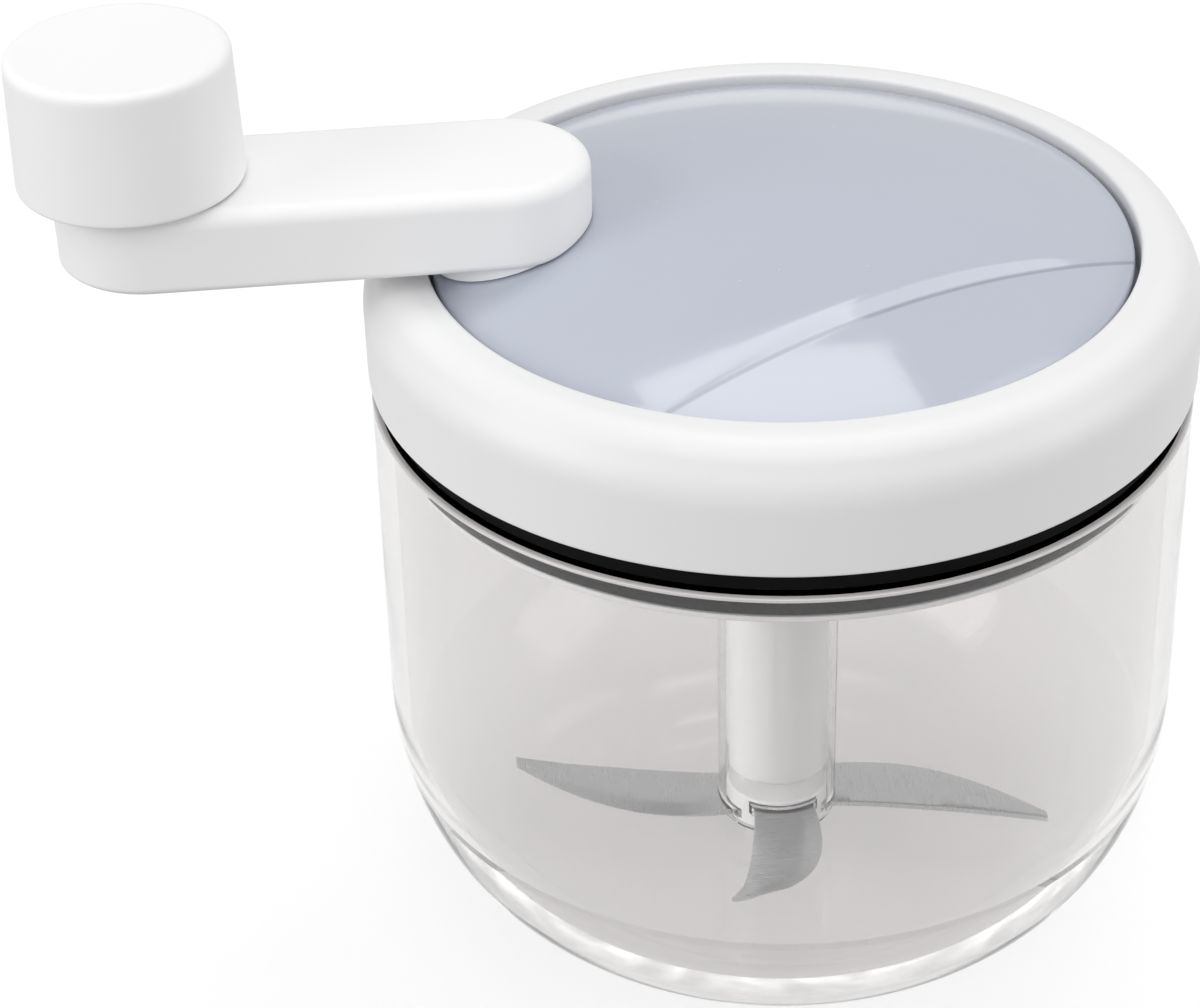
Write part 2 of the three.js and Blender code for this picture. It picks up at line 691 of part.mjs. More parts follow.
/** The pinion and its shaft, which reaches down inside the column to turn the blade unit by a tongue. */
function driveShaft() {
  const outline = gearOutline(PINION_TEETH, TOOTH_TIP_SHARE, TOOTH_ROOT_SHARE, BACKLASH, 0);
  const pinion = extruded(outline, gearBottom, gearTop);
  const chamfer = COLUMN_WALL / 2;
  const shaft = turned(
    [
      [0, CORE_BOTTOM],
      [coreRadius - chamfer, CORE_BOTTOM],
      [coreRadius, CORE_BOTTOM + chamfer],
      [coreRadius, bearingTop],
      [neckRadius, bearingTop],
      [neckRadius, gearTop - GAP],
      [0, gearTop - GAP],
    ],
    SMALL_STEPS,
  );
  const journal = bar(JOURNAL_RADIUS, gearTop - GAP, coverTop);
  const slotTop = hubTop + TONGUE_HEIGHT + GAP;
  const slot = block(2 * (coreRadius + OVERRUN), TONGUE_WIDTH + 2 * GAP, CORE_BOTTOM - OVERRUN, slotTop);
  return pinion.add(shaft).add(journal).subtract(slot);
}

// Pieces of the crank

/**
 * What the crease cuts from the disc: everything above a flatter dome, beyond a straight line, with
 * a slope between the two surfaces that starts on that line. The sections stand square to the line.
 */
function facetCutter() {
  const outward = polar(1, CREASE_ANGLE);
  const sideways = polar(1, CREASE_ANGLE + Math.PI / 2);
  const ceiling = discApex + OVERRUN;
  const facetApex = discEdge + FACET_RISE - FACET_SINK;
  const span = discRadius + OVERRUN;
  const stations = 2 * CURVE_STEPS;
  const samples = CURVE_STEPS;
  const rings = Array.from({ length: stations + 1 }, (_, station) => {
    const side = span * ((2 * station) / stations - 1);
    const at = (out, height) =>
      new THREE.Vector3(
        out * outward.x + side * sideways.x,
        out * outward.y + side * sideways.y,
        height ?? domeHeight(Math.hypot(out, side), facetApex, FACET_RISE),
      );
    const crease = at(creaseDistance);
    const bank = (ceiling - crease.z) / Math.tan(CREASE_SLOPE);
    const floor = Array.from({ length: samples + 1 }, (_, sample) =>
      at(creaseDistance + ((span - creaseDistance) * sample) / samples),
    );
    return [at(creaseDistance - bank, ceiling), ...floor, at(span, ceiling)];
  });
  return lofted(rings);
}

/** The domed disc, its skirt, the flange under the ring's retainer, and bosses for the ring gear. */
function crankDisc() {
  const skirtInside = discRadius - DISC_SKIRT_WALL;
  const outside = domeCurve(discRadius - DISC_EDGE_ROUND, 0);
  const inside = domeCurve(skirtInside, -DISC_WALL);
  const profile = [
    ...outside,
    [discRadius, discEdge - DISC_EDGE_ROUND],
    [discRadius, flangeTop],
    [flangeRadius, flangeTop],
    [flangeRadius, flangeBottom],
    [skirtInside, flangeBottom],
    ...inside.toReversed(),
  ];
  const under = domeSolid(-DISC_WALL / 2);
  const boss = bar(screwBoss, gearTop + GAP, discApex, SCREW_STEPS);
  const bossBore = bar(screwHole, gearTop - OVERRUN, gearTop + SCREW_GRIP + 2 * GAP, SCREW_STEPS);
  const pads = atArmScrews((seat) => bar(screwBoss + GAP, seat, discApex, SCREW_STEPS));
  const padBores = atArmScrews((seat) => bar(screwHole, seat - OVERRUN, discApex + OVERRUN, SCREW_STEPS));
  return turned(profile)
    .subtract(facetCutter())
    .add(union(ringScrewPlaces(boss)).intersect(under))
    .subtract(union(ringScrewPlaces(bossBore)))
    .add(union(pads).intersect(under))
    .subtract(union(padBores));
}

/** Everything under the disc's outer dome, moved up or down by a lift. */
function domeSolid(lift) {
  const reach = discRadius + OVERRUN;
  return turned([...domeCurve(reach, lift), [reach, plateTop], [0, plateTop]]);
}

/** Makes a shape for each of the arm's two screws from the height of its seat under the disc. */
function atArmScrews(make) {
  return [hubCentre - ARM_SCREW_SPREAD, hubCentre + ARM_SCREW_SPREAD].map((distance) => {
    const seat = domeHeight(distance + screwBoss) - DISC_WALL - GAP;
    return placed(make(seat), -distance, 0);
  });
}

/** A stadium from one distance along -X to another, drawn in by an inset. */
function stadium(inner, outer, halfWidth, height) {
  const end = (centre, start) =>
    Array.from({ length: SMALL_STEPS / 2 + 1 }, (_, step) => {
      const angle = start + (step / (SMALL_STEPS / 2)) * Math.PI;
      return new THREE.Vector3(halfWidth * Math.cos(angle) - centre, halfWidth * Math.sin(angle), height);
    });
  return [...end(inner, -Math.PI / 2), ...end(outer, Math.PI / 2)];
}

/** The rings of a bar with rounded edges: small ones on top, larger below, and a fuller outer end. */
function armRings() {
  const rings = [];
  for (let step = 0; step <= FILLET_STEPS; step += 1) {
    const angle = (step / FILLET_STEPS) * (Math.PI / 2);
    const inset = ARM_BOTTOM_ROUND * (1 - Math.sin(angle));
    const draw = ARM_END_ROUND * (1 - Math.sin(angle));
    const height = armBottom + ARM_BOTTOM_ROUND * (1 - Math.cos(angle));
    rings.push(stadium(armInner, armOuter - draw, ARM_HALF_WIDTH - inset, height));
  }
  for (let step = 0; step <= FILLET_STEPS; step += 1) {
    const angle = (step / FILLET_STEPS) * (Math.PI / 2);
    const inset = ARM_TOP_ROUND * (1 - Math.cos(angle));
    const height = armTop - ARM_TOP_ROUND * (1 - Math.sin(angle));
    rings.push(stadium(armInner, armOuter, ARM_HALF_WIDTH - inset, height));
  }
  return rings;
}

function stadiumBlock(inner, outer, halfWidth, low, high) {
  return lofted([stadium(inner, outer, halfWidth, low), stadium(inner, outer, halfWidth, high)]);
}

const cavityInner = armInner + 2 * ARM_HALF_WIDTH; // where the arm's hollow starts
const cavityHalfWidth = ARM_HALF_WIDTH - ARM_WALL;
const coverSeat = armBottom + ARM_COVER + GAP;
const headBottom = coverSeat + GAP; // the knob screw's head turns above the cover
const headTop = headBottom + KNOB_SCREW_HEAD_HEIGHT;
const washerTop = headTop + KNOB_WASHER;
const bushBottom = washerTop + GAP;
const armScrewTop = discApex + SCREW_GRIP / 2;

/** The arm: its hub sits down on the dome, and it is hollow under the stretch past the lid. */
function crankArm() {
  const hub = placed(
    bar(hubRadius, flangeTop, armTop - ARM_TOP_ROUND - GAP, 2 * SMALL_STEPS),
    -hubCentre,
    0,
  );
  const pocket = stadiumBlock(cavityInner, armOuter, cavityHalfWidth, armBottom - OVERRUN, coverSeat);
  const hollowTop = armTop - ARM_TOP_WALL;
  const hollow = stadiumBlock(cavityInner, armOuter, cavityHalfWidth - ARM_LEDGE, armBottom, hollowTop);
  const bossRadius = knobBushOuter + GAP + KNOB_BUSH_FLANGE_WIDTH;
  const bossBottom = bushBottom + KNOB_BUSH_FLANGE + GAP;
  const well = placed(bar(bossRadius, armBottom, bossBottom), -crankRadius, 0);
  const boss = placed(bar(bossRadius, bossBottom, armTop - ARM_TOP_ROUND), -crankRadius, 0);
  const bore = placed(bar(knobBushOuter + GAP, armBottom - OVERRUN, armTop + OVERRUN), -crankRadius, 0);
  const screwBores = atArmScrews((seat) => bar(screwHole, seat, armScrewTop + GAP, SCREW_STEPS));
  return lofted(armRings())
    .add(hub)
    .subtract(domeSolid(GAP))
    .subtract(pocket)
    .subtract(hollow)
    .subtract(well)
    .add(boss)
    .subtract(bore)
    .subtract(union(screwBores));
}

function armCover() {
  return stadiumBlock(cavityInner, armOuter, cavityHalfWidth - GAP, armBottom, armBottom + ARM_COVER);
}

function knobBush() {
  const profile = [
    [knobBushInner, bushBottom],
    [knobBushOuter + KNOB_BUSH_FLANGE_WIDTH, bushBottom],
    [knobBushOuter + KNOB_BUSH_FLANGE_WIDTH, bushBottom + KNOB_BUSH_FLANGE],
    [knobBushOuter, bushBottom + KNOB_BUSH_FLANGE],
    [knobBushOuter, armTop],
    [knobBushInner, armTop],
  ];
  return placed(turned(profile, SMALL_STEPS), -crankRadius, 0);
}

// Pieces of the knob

function knob() {
  const top = knobBottom + KNOB_HEIGHT;
  const roof = top - KNOB_TOP_WALL;
  const bore = KNOB_SCREW_RADIUS + GAP;
  const boreTop = knobBottom + KNOB_SCREW_GRIP + GAP;
  const profile = [
    [bore, knobBottom],
    [KNOB_BOSS_RADIUS, knobBottom],
    [KNOB_BOSS_RADIUS, roof],
    [KNOB_TOP_RADIUS - KNOB_WALL, roof],
    [KNOB_LOW_RADIUS - KNOB_WALL, knobBottom],
    [KNOB_LOW_RADIUS - KNOB_ROUND / 2, knobBottom],
    [KNOB_LOW_RADIUS, knobBottom + KNOB_ROUND / 2],
    ...rounded(
      [KNOB_TOP_RADIUS, top - KNOB_ROUND],
      [KNOB_TOP_RADIUS, top],
      [KNOB_TOP_RADIUS - KNOB_ROUND, top],
    ),
    [0, top],
    [0, boreTop],
    [bore, boreTop],
  ];
  return placed(turned(profile, KNOB_STEPS), -crankRadius, 0);
}

function knobScrew() {
  const shape = screw(
    knobBottom + KNOB_SCREW_GRIP - headTop,
    KNOB_SCREW_RADIUS,
    KNOB_SCREW_HEAD_RADIUS,
    KNOB_SCREW_HEAD_HEIGHT,
  );
  return placed(shape, -crankRadius, 0, headTop);
}

function knobWasher() {
  const radius = KNOB_SCREW_HEAD_RADIUS + GAP;
  const washer = bar(radius, headTop + GAP / 2, washerTop, SMALL_STEPS, knobBushInner);
  return placed(washer, -crankRadius, 0);
}

// Finishes

function finish(color, roughness, metalness = 0) {
  return { color, roughness, metalness };
}

const WHITE_PLASTIC = finish(0xf1f1f0, 0.35);
const CLEAR_PLASTIC = { ...finish(0xe9edee, 0.08), transparent: true, opacity: 0.3 };
const DISC_PLASTIC = finish(0xc3c7d2, 0.2);
const GEAR_PLASTIC = finish(0xe6e2d6, 0.5);
const BLACK_RUBBER = finish(0x151516, 0.65);
const BLADE_STEEL = finish(0xc4c7ca, 0.25, 1);
const SCREW_STEEL = finish(0xa9acb0, 0.4, 1);
const BRASS = finish(0xc9a961, 0.4, 1);

// Assembly

const chopper = new THREE.Group();

function piece(name, shape, look) {
  const mesh = shape.getMesh();
  const geometry = new THREE.BufferGeometry();
  geometry.setAttribute("position", new THREE.BufferAttribute(mesh.vertProperties, 3));
  geometry.setIndex(new THREE.BufferAttribute(mesh.triVerts, 1));
  geometry.computeVertexNormals();
  const part = new THREE.Mesh(geometry, new THREE.MeshStandardMaterial(look));
  part.name = name;
  chopper.add(part);
}

function pieces(name, shapes, look) {
  shapes.forEach((shape, number) => piece(`${name}_${number + 1}`, shape, look));
}

piece("bowl", bowl(), CLEAR_PLASTIC);
piece("pivot_pin", pivotPin(), SCREW_STEEL);

piece("blade_column", column(), CLEAR_PLASTIC);
piece("blade_hub", bladeHub(), WHITE_PLASTIC);
piece("lower_blade", blade(LOWER_BLADE_HEIGHT, lowerBladeReach, LOWER_BLADE_LIFT), BLADE_STEEL);
const crossed = blade(UPPER_BLADE_HEIGHT, upperBladeReach, UPPER_BLADE_LIFT).rotate([0, 0, 90]);
piece("upper_blade", crossed, BLADE_STEEL);

piece("seal_ring", sealRing(), BLACK_RUBBER);
piece("lid_ring", lidRing(), WHITE_PLASTIC);
piece("lid_base", lidBase(), WHITE_PLASTIC);
piece("shaft_seal", shaftSeal(), BLACK_RUBBER);
piece("gear_cover", gearCover(), WHITE_PLASTIC);
const coverScrew = placed(screw(SCREW_GRIP + COVER_PLATE).rotate([180, 0, 0]), 0, 0, coverTop + GAP);
const coverScrews = circled(coverScrew, idlerCircle, IDLER_COUNT, Math.PI / IDLER_COUNT);
pieces("gear_cover_screw", coverScrews, SCREW_STEEL);
pieces("idler_axle", circled(idlerAxle(), idlerCircle, IDLER_COUNT), SCREW_STEEL);

const idlers = Array.from({ length: IDLER_COUNT }, (_, number) => {
  const turn = (360 / IDLER_COUNT) * number;
  return placed(idlerGear(), idlerCircle, 0).rotate([0, 0, turn]);
});
pieces("idler_gear", idlers, GEAR_PLASTIC);
piece("drive_shaft", driveShaft(), WHITE_PLASTIC);

piece("crank_disc", crankDisc(), DISC_PLASTIC);
piece("ring_gear", ringGear(), GEAR_PLASTIC);
const ringScrew = placed(screw(gearTop - gearBottom + SCREW_GRIP), 0, 0, gearBottom - GAP);
pieces("ring_gear_screw", ringScrewPlaces(ringScrew), SCREW_STEEL);
piece("crank_arm", crankArm(), WHITE_PLASTIC);
piece("arm_cover", armCover(), WHITE_PLASTIC);
const armScrews = atArmScrews((seat) => placed(screw(armScrewTop - seat), 0, 0, seat - GAP));
pieces("arm_screw", armScrews, SCREW_STEEL);
piece("knob_bush", knobBush(), BRASS);

piece("knob", knob(), WHITE_PLASTIC);
piece("knob_screw", knobScrew(), SCREW_STEEL);
piece("knob_washer", knobWasher(), SCREW_STEEL);

export default chopper;
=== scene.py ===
"""The looks of a hand-cranked food chopper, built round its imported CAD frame.

Shapes are worked out in millimetres in the frame's axes, and become metres when a mesh is made. The
lid's axis is Z, the bowl's foot stands at z = 0, and the arm points along -X. The pieces made here
stand for their CAD nodes in finer form. The gears, axles, screws and bushes keep their CAD shapes,
with these finishes.
"""

import json

import bmesh
import bpy
import numpy as np
from mathutils import Matrix, Vector

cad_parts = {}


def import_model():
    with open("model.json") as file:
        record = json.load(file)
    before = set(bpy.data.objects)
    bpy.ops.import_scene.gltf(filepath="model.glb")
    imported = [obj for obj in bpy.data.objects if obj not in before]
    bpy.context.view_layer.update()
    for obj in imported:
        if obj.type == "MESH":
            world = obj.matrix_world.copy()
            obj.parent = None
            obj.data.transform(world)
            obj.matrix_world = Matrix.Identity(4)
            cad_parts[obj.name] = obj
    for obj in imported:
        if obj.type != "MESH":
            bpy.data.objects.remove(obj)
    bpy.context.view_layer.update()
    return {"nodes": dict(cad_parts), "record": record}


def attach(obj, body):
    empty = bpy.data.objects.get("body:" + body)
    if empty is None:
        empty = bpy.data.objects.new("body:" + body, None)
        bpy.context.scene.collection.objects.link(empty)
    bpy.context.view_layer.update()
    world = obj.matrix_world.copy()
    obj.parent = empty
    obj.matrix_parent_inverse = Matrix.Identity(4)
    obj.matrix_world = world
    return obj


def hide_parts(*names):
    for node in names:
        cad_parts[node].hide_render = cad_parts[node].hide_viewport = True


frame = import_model()

MM = 0.001

# Sizes, as in the CAD frame
GAP = 0.3
BOWL_HEIGHT = 65.9
RIM_RADIUS = 44.8
RIM_ROUND = 0.4
RIM_HIGHLIGHT_REACH = 0.6  # how far in the rim's outer edge with the painted highlight reaches
BELLY_RADIUS = 45.1
BELLY_HEIGHT = 28
FOOT_RADIUS = 24
BOWL_WALL = 2
BOWL_FLOOR = 2.5
BOWL_CURVE_POWER = 2.15
HEEL_HEIGHT = 20
BOSS_RADIUS = 4.2
BOSS_TOP = 5.1
PIN_RADIUS = 1.5
PIN_SEAT = 1.2
PIN_TOP = 8.3
COLUMN_RADIUS = 7
COLUMN_BORE = 6.2
COLUMN_BOTTOM = 5.4
COLUMN_TOP = 65.2
CORE_RADIUS = 5.9
CORE_BOTTOM = 12
NECK_RADIUS = 5.46
SPINDLE_RADIUS = 3
NOTCH_LENGTH = 19
HUB_TOP = 9.5
TONGUE_LENGTH = 8
TONGUE_WIDTH = 2.4
TONGUE_HEIGHT = 5.5
LOW_BLADE = 6.6
HIGH_BLADE = 8.4
BLADE_THICKNESS = 0.8
BLADE_ROOT_WIDTH = 7
BLADE_TIP_WIDTH = 1.6
BLADE_BELLY = 2
BLADE_SWEEP = 9
BLADE_BEVEL = 2.4
BLADE_EDGE = 0.08
SLOT_LENGTH = 22
SEAL_BOTTOM = 66.2
SEAL_TOP = 68.3
SEAL_RADIUS = 43.7
LIP_RADIUS = 42.5
LIP_BOTTOM = 62.4
LIP_WALL = 1.4
LID_RADIUS = 45
LID_BOTTOM = 68.6
LID_SHOULDER = 77.8
LID_TOP = 82.4
LID_ROOF = 1.9
SKIRT_RADIUS = 42.6
OPENING_RADIUS = 38.1
RETAINER_RADIUS = 39.6
RETAINER_BOTTOM = 77.8
SNAP_HEIGHT = 74.1
SNAP_GROOVE_DEPTH = 0.65
SNAP_GROOVE_REACH = 0.8
SNAP_BEAD = 0.5
PLATE_BOTTOM = 69
PLATE_TOP = 71
PLATE_RADIUS = 42.3
PLATE_RIM_INNER = 40.7
PLATE_RIM_TOP = 75.6
RIB_OUTER = 39.9
RIB_INNER = 38.5
RIB_TOP = 76
BEARING_RADIUS = COLUMN_BORE + 3.2
BEARING_BOTTOM = 66
BEARING_TOP = 72.6
WIPER_SEAT_RADIUS = COLUMN_BORE + 1.4
WIPER_SEAT_DEPTH = 1.8
SPIGOT_RADIUS = 40.8
SPIGOT_WALL = 1.7
SPIGOT_BOTTOM = 61.4
SPIGOT_FLANGE = 0.8
SPIGOT_FLANGE_HEIGHT = 0.7
GEAR_BOTTOM = 72.9
GEAR_TOP = 77
COVER_TOP = 78.8
IDLER_CIRCLE = 18
AXLE_BOSS_RADIUS = 3.2
AXLE_SEAT_RADIUS = 1.8
AXLE_SEAT_DEPTH = 1.2
POST_RADIUS = 2.4
POST_BORE_RADIUS = 1.1
POST_BORE_BOTTOM = 73.3
DISC_RADIUS = 37.5
DISC_EDGE = 81.3
DISC_EDGE_ROUND = 0.45
DISC_EDGE_HEIGHT = 0.6
DISC_RISE = 7.2
DISC_WALL = 1.8
DISC_INSIDE = DISC_RADIUS - 1.6
FLANGE_RADIUS = 40.2
FLANGE_TOP = 77.5
FLANGE_BOTTOM = 76.3
FACET_RISE = 6.65
FACET_SINK = 0.15
CREASE_DISTANCE = 23.9
CREASE_ANGLE = np.radians(-66)
CREASE_SLOPE = np.tan(np.radians(25))
CREASE_FOOT_EASE = 0.06
CREASE_TOP_EASE = 0.12
ARM_BOTTOM = 84.8
ARM_TOP = 93.8
ARM_HALF_WIDTH = 9.4
ARM_INNER = 29.55
ARM_OUTER = 66.75
ARM_TOP_ROUND = 1.75
ARM_BOTTOM_ROUND = 1
ARM_ROOF = 2.2
HUB_CENTRE = 28.75
HUB_RADIUS = 8.6
HUB_START = 77  # below the dome, which cuts the hub
CRANK_RADIUS = 67.7
COVER_INNER = 48.35
COVER_HALF_WIDTH = 6.6
COVER_THICKNESS = 1.4
KNOB_POST_RADIUS = 4.3
KNOB_POST_BOTTOM = 90.2
KNOB_BORE_RADIUS = 3.1
KNOB_BOTTOM = 94.1
KNOB_TOP = 108.5
KNOB_LOW_RADIUS = 11.9
KNOB_TOP_RADIUS = 11.55
KNOB_WALL = 1.9
KNOB_ROOF = 2.2
KNOB_STEM_RADIUS = 4.4
KNOB_SOCKET_RADIUS = 1.9
KNOB_SOCKET_DEPTH = 8.3

TABLE = -0.05  # just below the foot, so that the two faces don't lie in one plane
PAST = 4  # how far a cutting shape reaches past what it cuts
TURNS = 224  # facets round a large turned piece
SMALL_TURNS = 96
FINE_TURNS = 48
FULL_TURN = 2 * np.pi
LONG_STRAIGHT = 1  # a profile's straight that is longer gets a point near each end
STRAIGHT_INSET = 0.25
WELD = 2e-7  # metres between points that are one


# Surfaces


def unit(vectors):
    length = np.linalg.norm(vectors, axis=-1, keepdims=True)
    return vectors / np.maximum(length, 1e-9)


def polar(radius, angle):
    return radius * np.cos(angle), radius * np.sin(angle)


def points(x, y, z):
    """Points from coordinates of any shapes that fit together."""
    return np.stack(np.broadcast_arrays(x, y, z), axis=-1)


def eased(corners, closed=True, steps=8):
    """A profile through corners of (radius, height, round).

    Each corner C becomes the curve (1-t)^2 A + 2t(1-t) C + t^2 B, where A and B lie its round away from
    it along its two sides. Long straights get a point near each end, which keeps their shading flat.
    """
    corners = np.array([(*corner, 0)[:3] for corner in corners], float)
    place, reach = corners[:, :2], corners[:, 2:]
    before = place + reach * unit(np.roll(place, 1, axis=0) - place)
    after = place + reach * unit(np.roll(place, -1, axis=0) - place)
    t = np.linspace(0, 1, steps)[None, :, None]
    curve = (1 - t) ** 2 * before[:, None] + 2 * t * (1 - t) * place[:, None] + t**2 * after[:, None]
    curve = curve.reshape(-1, 2)
    gap = np.linalg.norm(np.roll(curve, -1, axis=0) - curve, axis=1)
    if not closed:
        gap[-1] = 1
    curve = curve[gap > 1e-6]
    step = np.roll(curve, -1, axis=0) - curve
    length = np.linalg.norm(step, axis=1, keepdims=True)
    inset = unit(step) * STRAIGHT_INSET
    line = np.stack([curve, curve + inset, curve + step - inset], axis=1)
    keep = np.repeat(length > LONG_STRAIGHT, 3, axis=1)
    keep[:, 0] = True
    if not closed:
        keep[-1, 1:] = False
    return line.reshape(-1, 2)[keep.reshape(-1)]


def revolved(profile, turns=TURNS, x=0, y=0):
    """Rows of (radius, height) turned round an upright axis: x + radius cos(a), y + radius sin(a)."""
    angle = np.linspace(0, FULL_TURN, turns, endpoint=False)
    across, along = polar(profile[:, :1], angle)
    return points(x + across, y + along, profile[:, 1:])


def quads(rows, columns, rows_closed, columns_closed):
    """Corner numbers of the quads of a grid."""
    row, column = np.meshgrid(
        np.arange(rows if rows_closed else rows - 1),
        np.arange(columns if columns_closed else columns - 1),
        indexing="ij",
    )
    next_row, next_column = (row + 1) % rows, (column + 1) % columns
    corners = [(row, column), (row, next_column), (next_row, next_column), (next_row, column)]
    return np.stack([r * columns + c for r, c in corners], axis=-1).reshape(-1, 4)


def joined(name, *meshes):
    """A piece of one or more meshes, welded where their points meet, with its faces turned outwards."""
    work = bmesh.new()
    for mesh in meshes:
        work.from_mesh(mesh)
        bpy.data.meshes.remove(mesh)
    bmesh.ops.remove_doubles(work, verts=work.verts, dist=WELD)
    bmesh.ops.recalc_face_normals(work, faces=work.faces)
    mesh = bpy.data.meshes.new(name)
    work.to_mesh(mesh)
    work.free()
    piece = bpy.data.objects.new(name, mesh)
    bpy.context.scene.collection.objects.link(piece)
    return piece


def sheet(grid, rows_closed=False, columns_closed=True):
    """A mesh of a grid of points in millimetres."""
    mesh = bpy.data.meshes.new("sheet")
    faces = quads(*grid.shape[:2], rows_closed, columns_closed)
    mesh.from_pydata((grid.reshape(-1, 3) * MM).tolist(), [], faces.tolist())
    return mesh


def made(name, grid, rows_closed=False):
    return joined(name, sheet(grid, rows_closed))


def turned(name, corners, closed=True, turns=TURNS, x=0, y=0):
    """A turned piece from its eased profile: a closed loop, or a line with both ends on the axis."""
    return made(name, revolved(eased(corners, closed), turns, x, y), rows_closed=closed)


def applied(piece):
    """Puts what a piece's modifiers make into its own mesh."""
    result = piece.evaluated_get(bpy.context.evaluated_depsgraph_get())
    mesh = bpy.data.meshes.new_from_object(result)
    piece.modifiers.clear()
    piece.data = mesh
    return piece


def shaped(piece, operation, *tools):
    """Cuts a piece with others or joins them to it, and removes them."""
    for tool in tools:
        boolean = piece.modifiers.new(operation, "BOOLEAN")
        boolean.operation = operation
        boolean.solver = "MANIFOLD"
        boolean.object = tool
    applied(piece)
    for tool in tools:
        bpy.data.objects.remove(tool)
    return piece


def bar(radius, low, high, x=0, y=0, turns=SMALL_TURNS, ease=0):
    """A round bar on an upright axis."""
    corners = [(0, low), (radius, low, ease), (radius, high, ease), (0, high)]
    return turned("bar", corners, False, turns, x, y)


def block(width, depth, low, high):
    """A box round the axis."""
    corner = np.array([(1, 1), (-1, 1), (-1, -1), (1, -1)]) * (width / 2, depth / 2)
    return made("block", prism(corner, low, high))


def prism(outline, low, high):
    """An upright prism: its outline at both heights, and a point in the middle of each end."""
    rows = [(0, low), (1, low), (1, high), (0, high)]
    return np.stack([points(*(share * outline).T, height) for share, height in rows])


def around(make, radius, start=0):
    """Three copies of a piece on a circle, from a function of x and y."""
    return [make(*polar(radius, start + third)) for third in FULL_TURN * np.arange(3) / 3]


# The bowl


def belly(foot, floor, radius):
    """A superellipse from the foot's edge to the belly: out sin(a)^(2/p) and up 1 - cos(a)^(2/p)."""
    angle = np.linspace(0, np.pi / 2, 72)
    power = 2 / BOWL_CURVE_POWER
    out, up = np.sin(angle) ** power, 1 - np.abs(np.cos(angle)) ** power
    return np.stack([foot + out * (radius - foot), floor + up * (BELLY_HEIGHT - floor)], axis=1)


def bowl():
    inner_rim = RIM_RADIUS - BOWL_WALL
    corners = [
        (0, 0),
        *belly(FOOT_RADIUS, 0, BELLY_RADIUS),
        (RIM_RADIUS, BOWL_HEIGHT, RIM_ROUND),
        (inner_rim, BOWL_HEIGHT, RIM_ROUND),
        *belly(FOOT_RADIUS - BOWL_WALL, BOWL_FLOOR, BELLY_RADIUS - BOWL_WALL)[::-1],
        (BOSS_RADIUS + BOWL_WALL, BOWL_FLOOR, 1),
        (BOSS_RADIUS, BOSS_TOP, 0.4),
        (PIN_RADIUS + GAP, BOSS_TOP, 0.2),
        (PIN_RADIUS + GAP, PIN_SEAT),
        (0, PIN_SEAT),
    ]
    return turned("clear_bowl", corners, closed=False)


def pin():
    low = PIN_SEAT + GAP
    corners = [(0, low), (PIN_RADIUS, low, 0.2), (PIN_RADIUS, PIN_TOP, 0.7), (0, PIN_TOP)]
    return turned("blade_pin", corners, closed=False, turns=FINE_TURNS)


# The blade unit


def slots():
    """What cuts the two blades' crossed slots."""
    width = BLADE_ROOT_WIDTH + 2 * GAP
    reach = BLADE_THICKNESS / 2 + GAP
    low = block(SLOT_LENGTH, width, LOW_BLADE - reach, LOW_BLADE + reach)
    return [low, block(width, SLOT_LENGTH, HIGH_BLADE - reach, HIGH_BLADE + reach)]


def sleeve():
    corners = [
        (COLUMN_BORE, COLUMN_BOTTOM, 0.15),
        (COLUMN_RADIUS, COLUMN_BOTTOM, 0.3),
        (COLUMN_RADIUS, COLUMN_TOP, 0.3),
        (COLUMN_BORE, COLUMN_TOP, 0.15),
    ]
    return shaped(turned("column_sleeve", corners, turns=SMALL_TURNS), "DIFFERENCE", *slots())


def hub():
    plug = bar(CORE_RADIUS, COLUMN_BOTTOM, HUB_TOP, ease=0.3)
    plug.name = "blade_plug"
    tongue = block(TONGUE_LENGTH, TONGUE_WIDTH, HUB_TOP - GAP, HUB_TOP + TONGUE_HEIGHT)
    shaped(plug, "UNION", tongue)
    bore = bar(PIN_RADIUS + GAP, 1, PIN_TOP + GAP, turns=FINE_TURNS)
    return shaped(plug, "DIFFERENCE", bore, *slots())


def refined(columns):
    """A table's columns, with three more shared evenly into each gap."""
    share = np.arange(4) / 4
    gaps = columns[:, :-1, None] * (1 - share) + columns[:, 1:, None] * share
    return np.concatenate([gaps.reshape(len(columns), -1), columns[:, -1:]], axis=1)


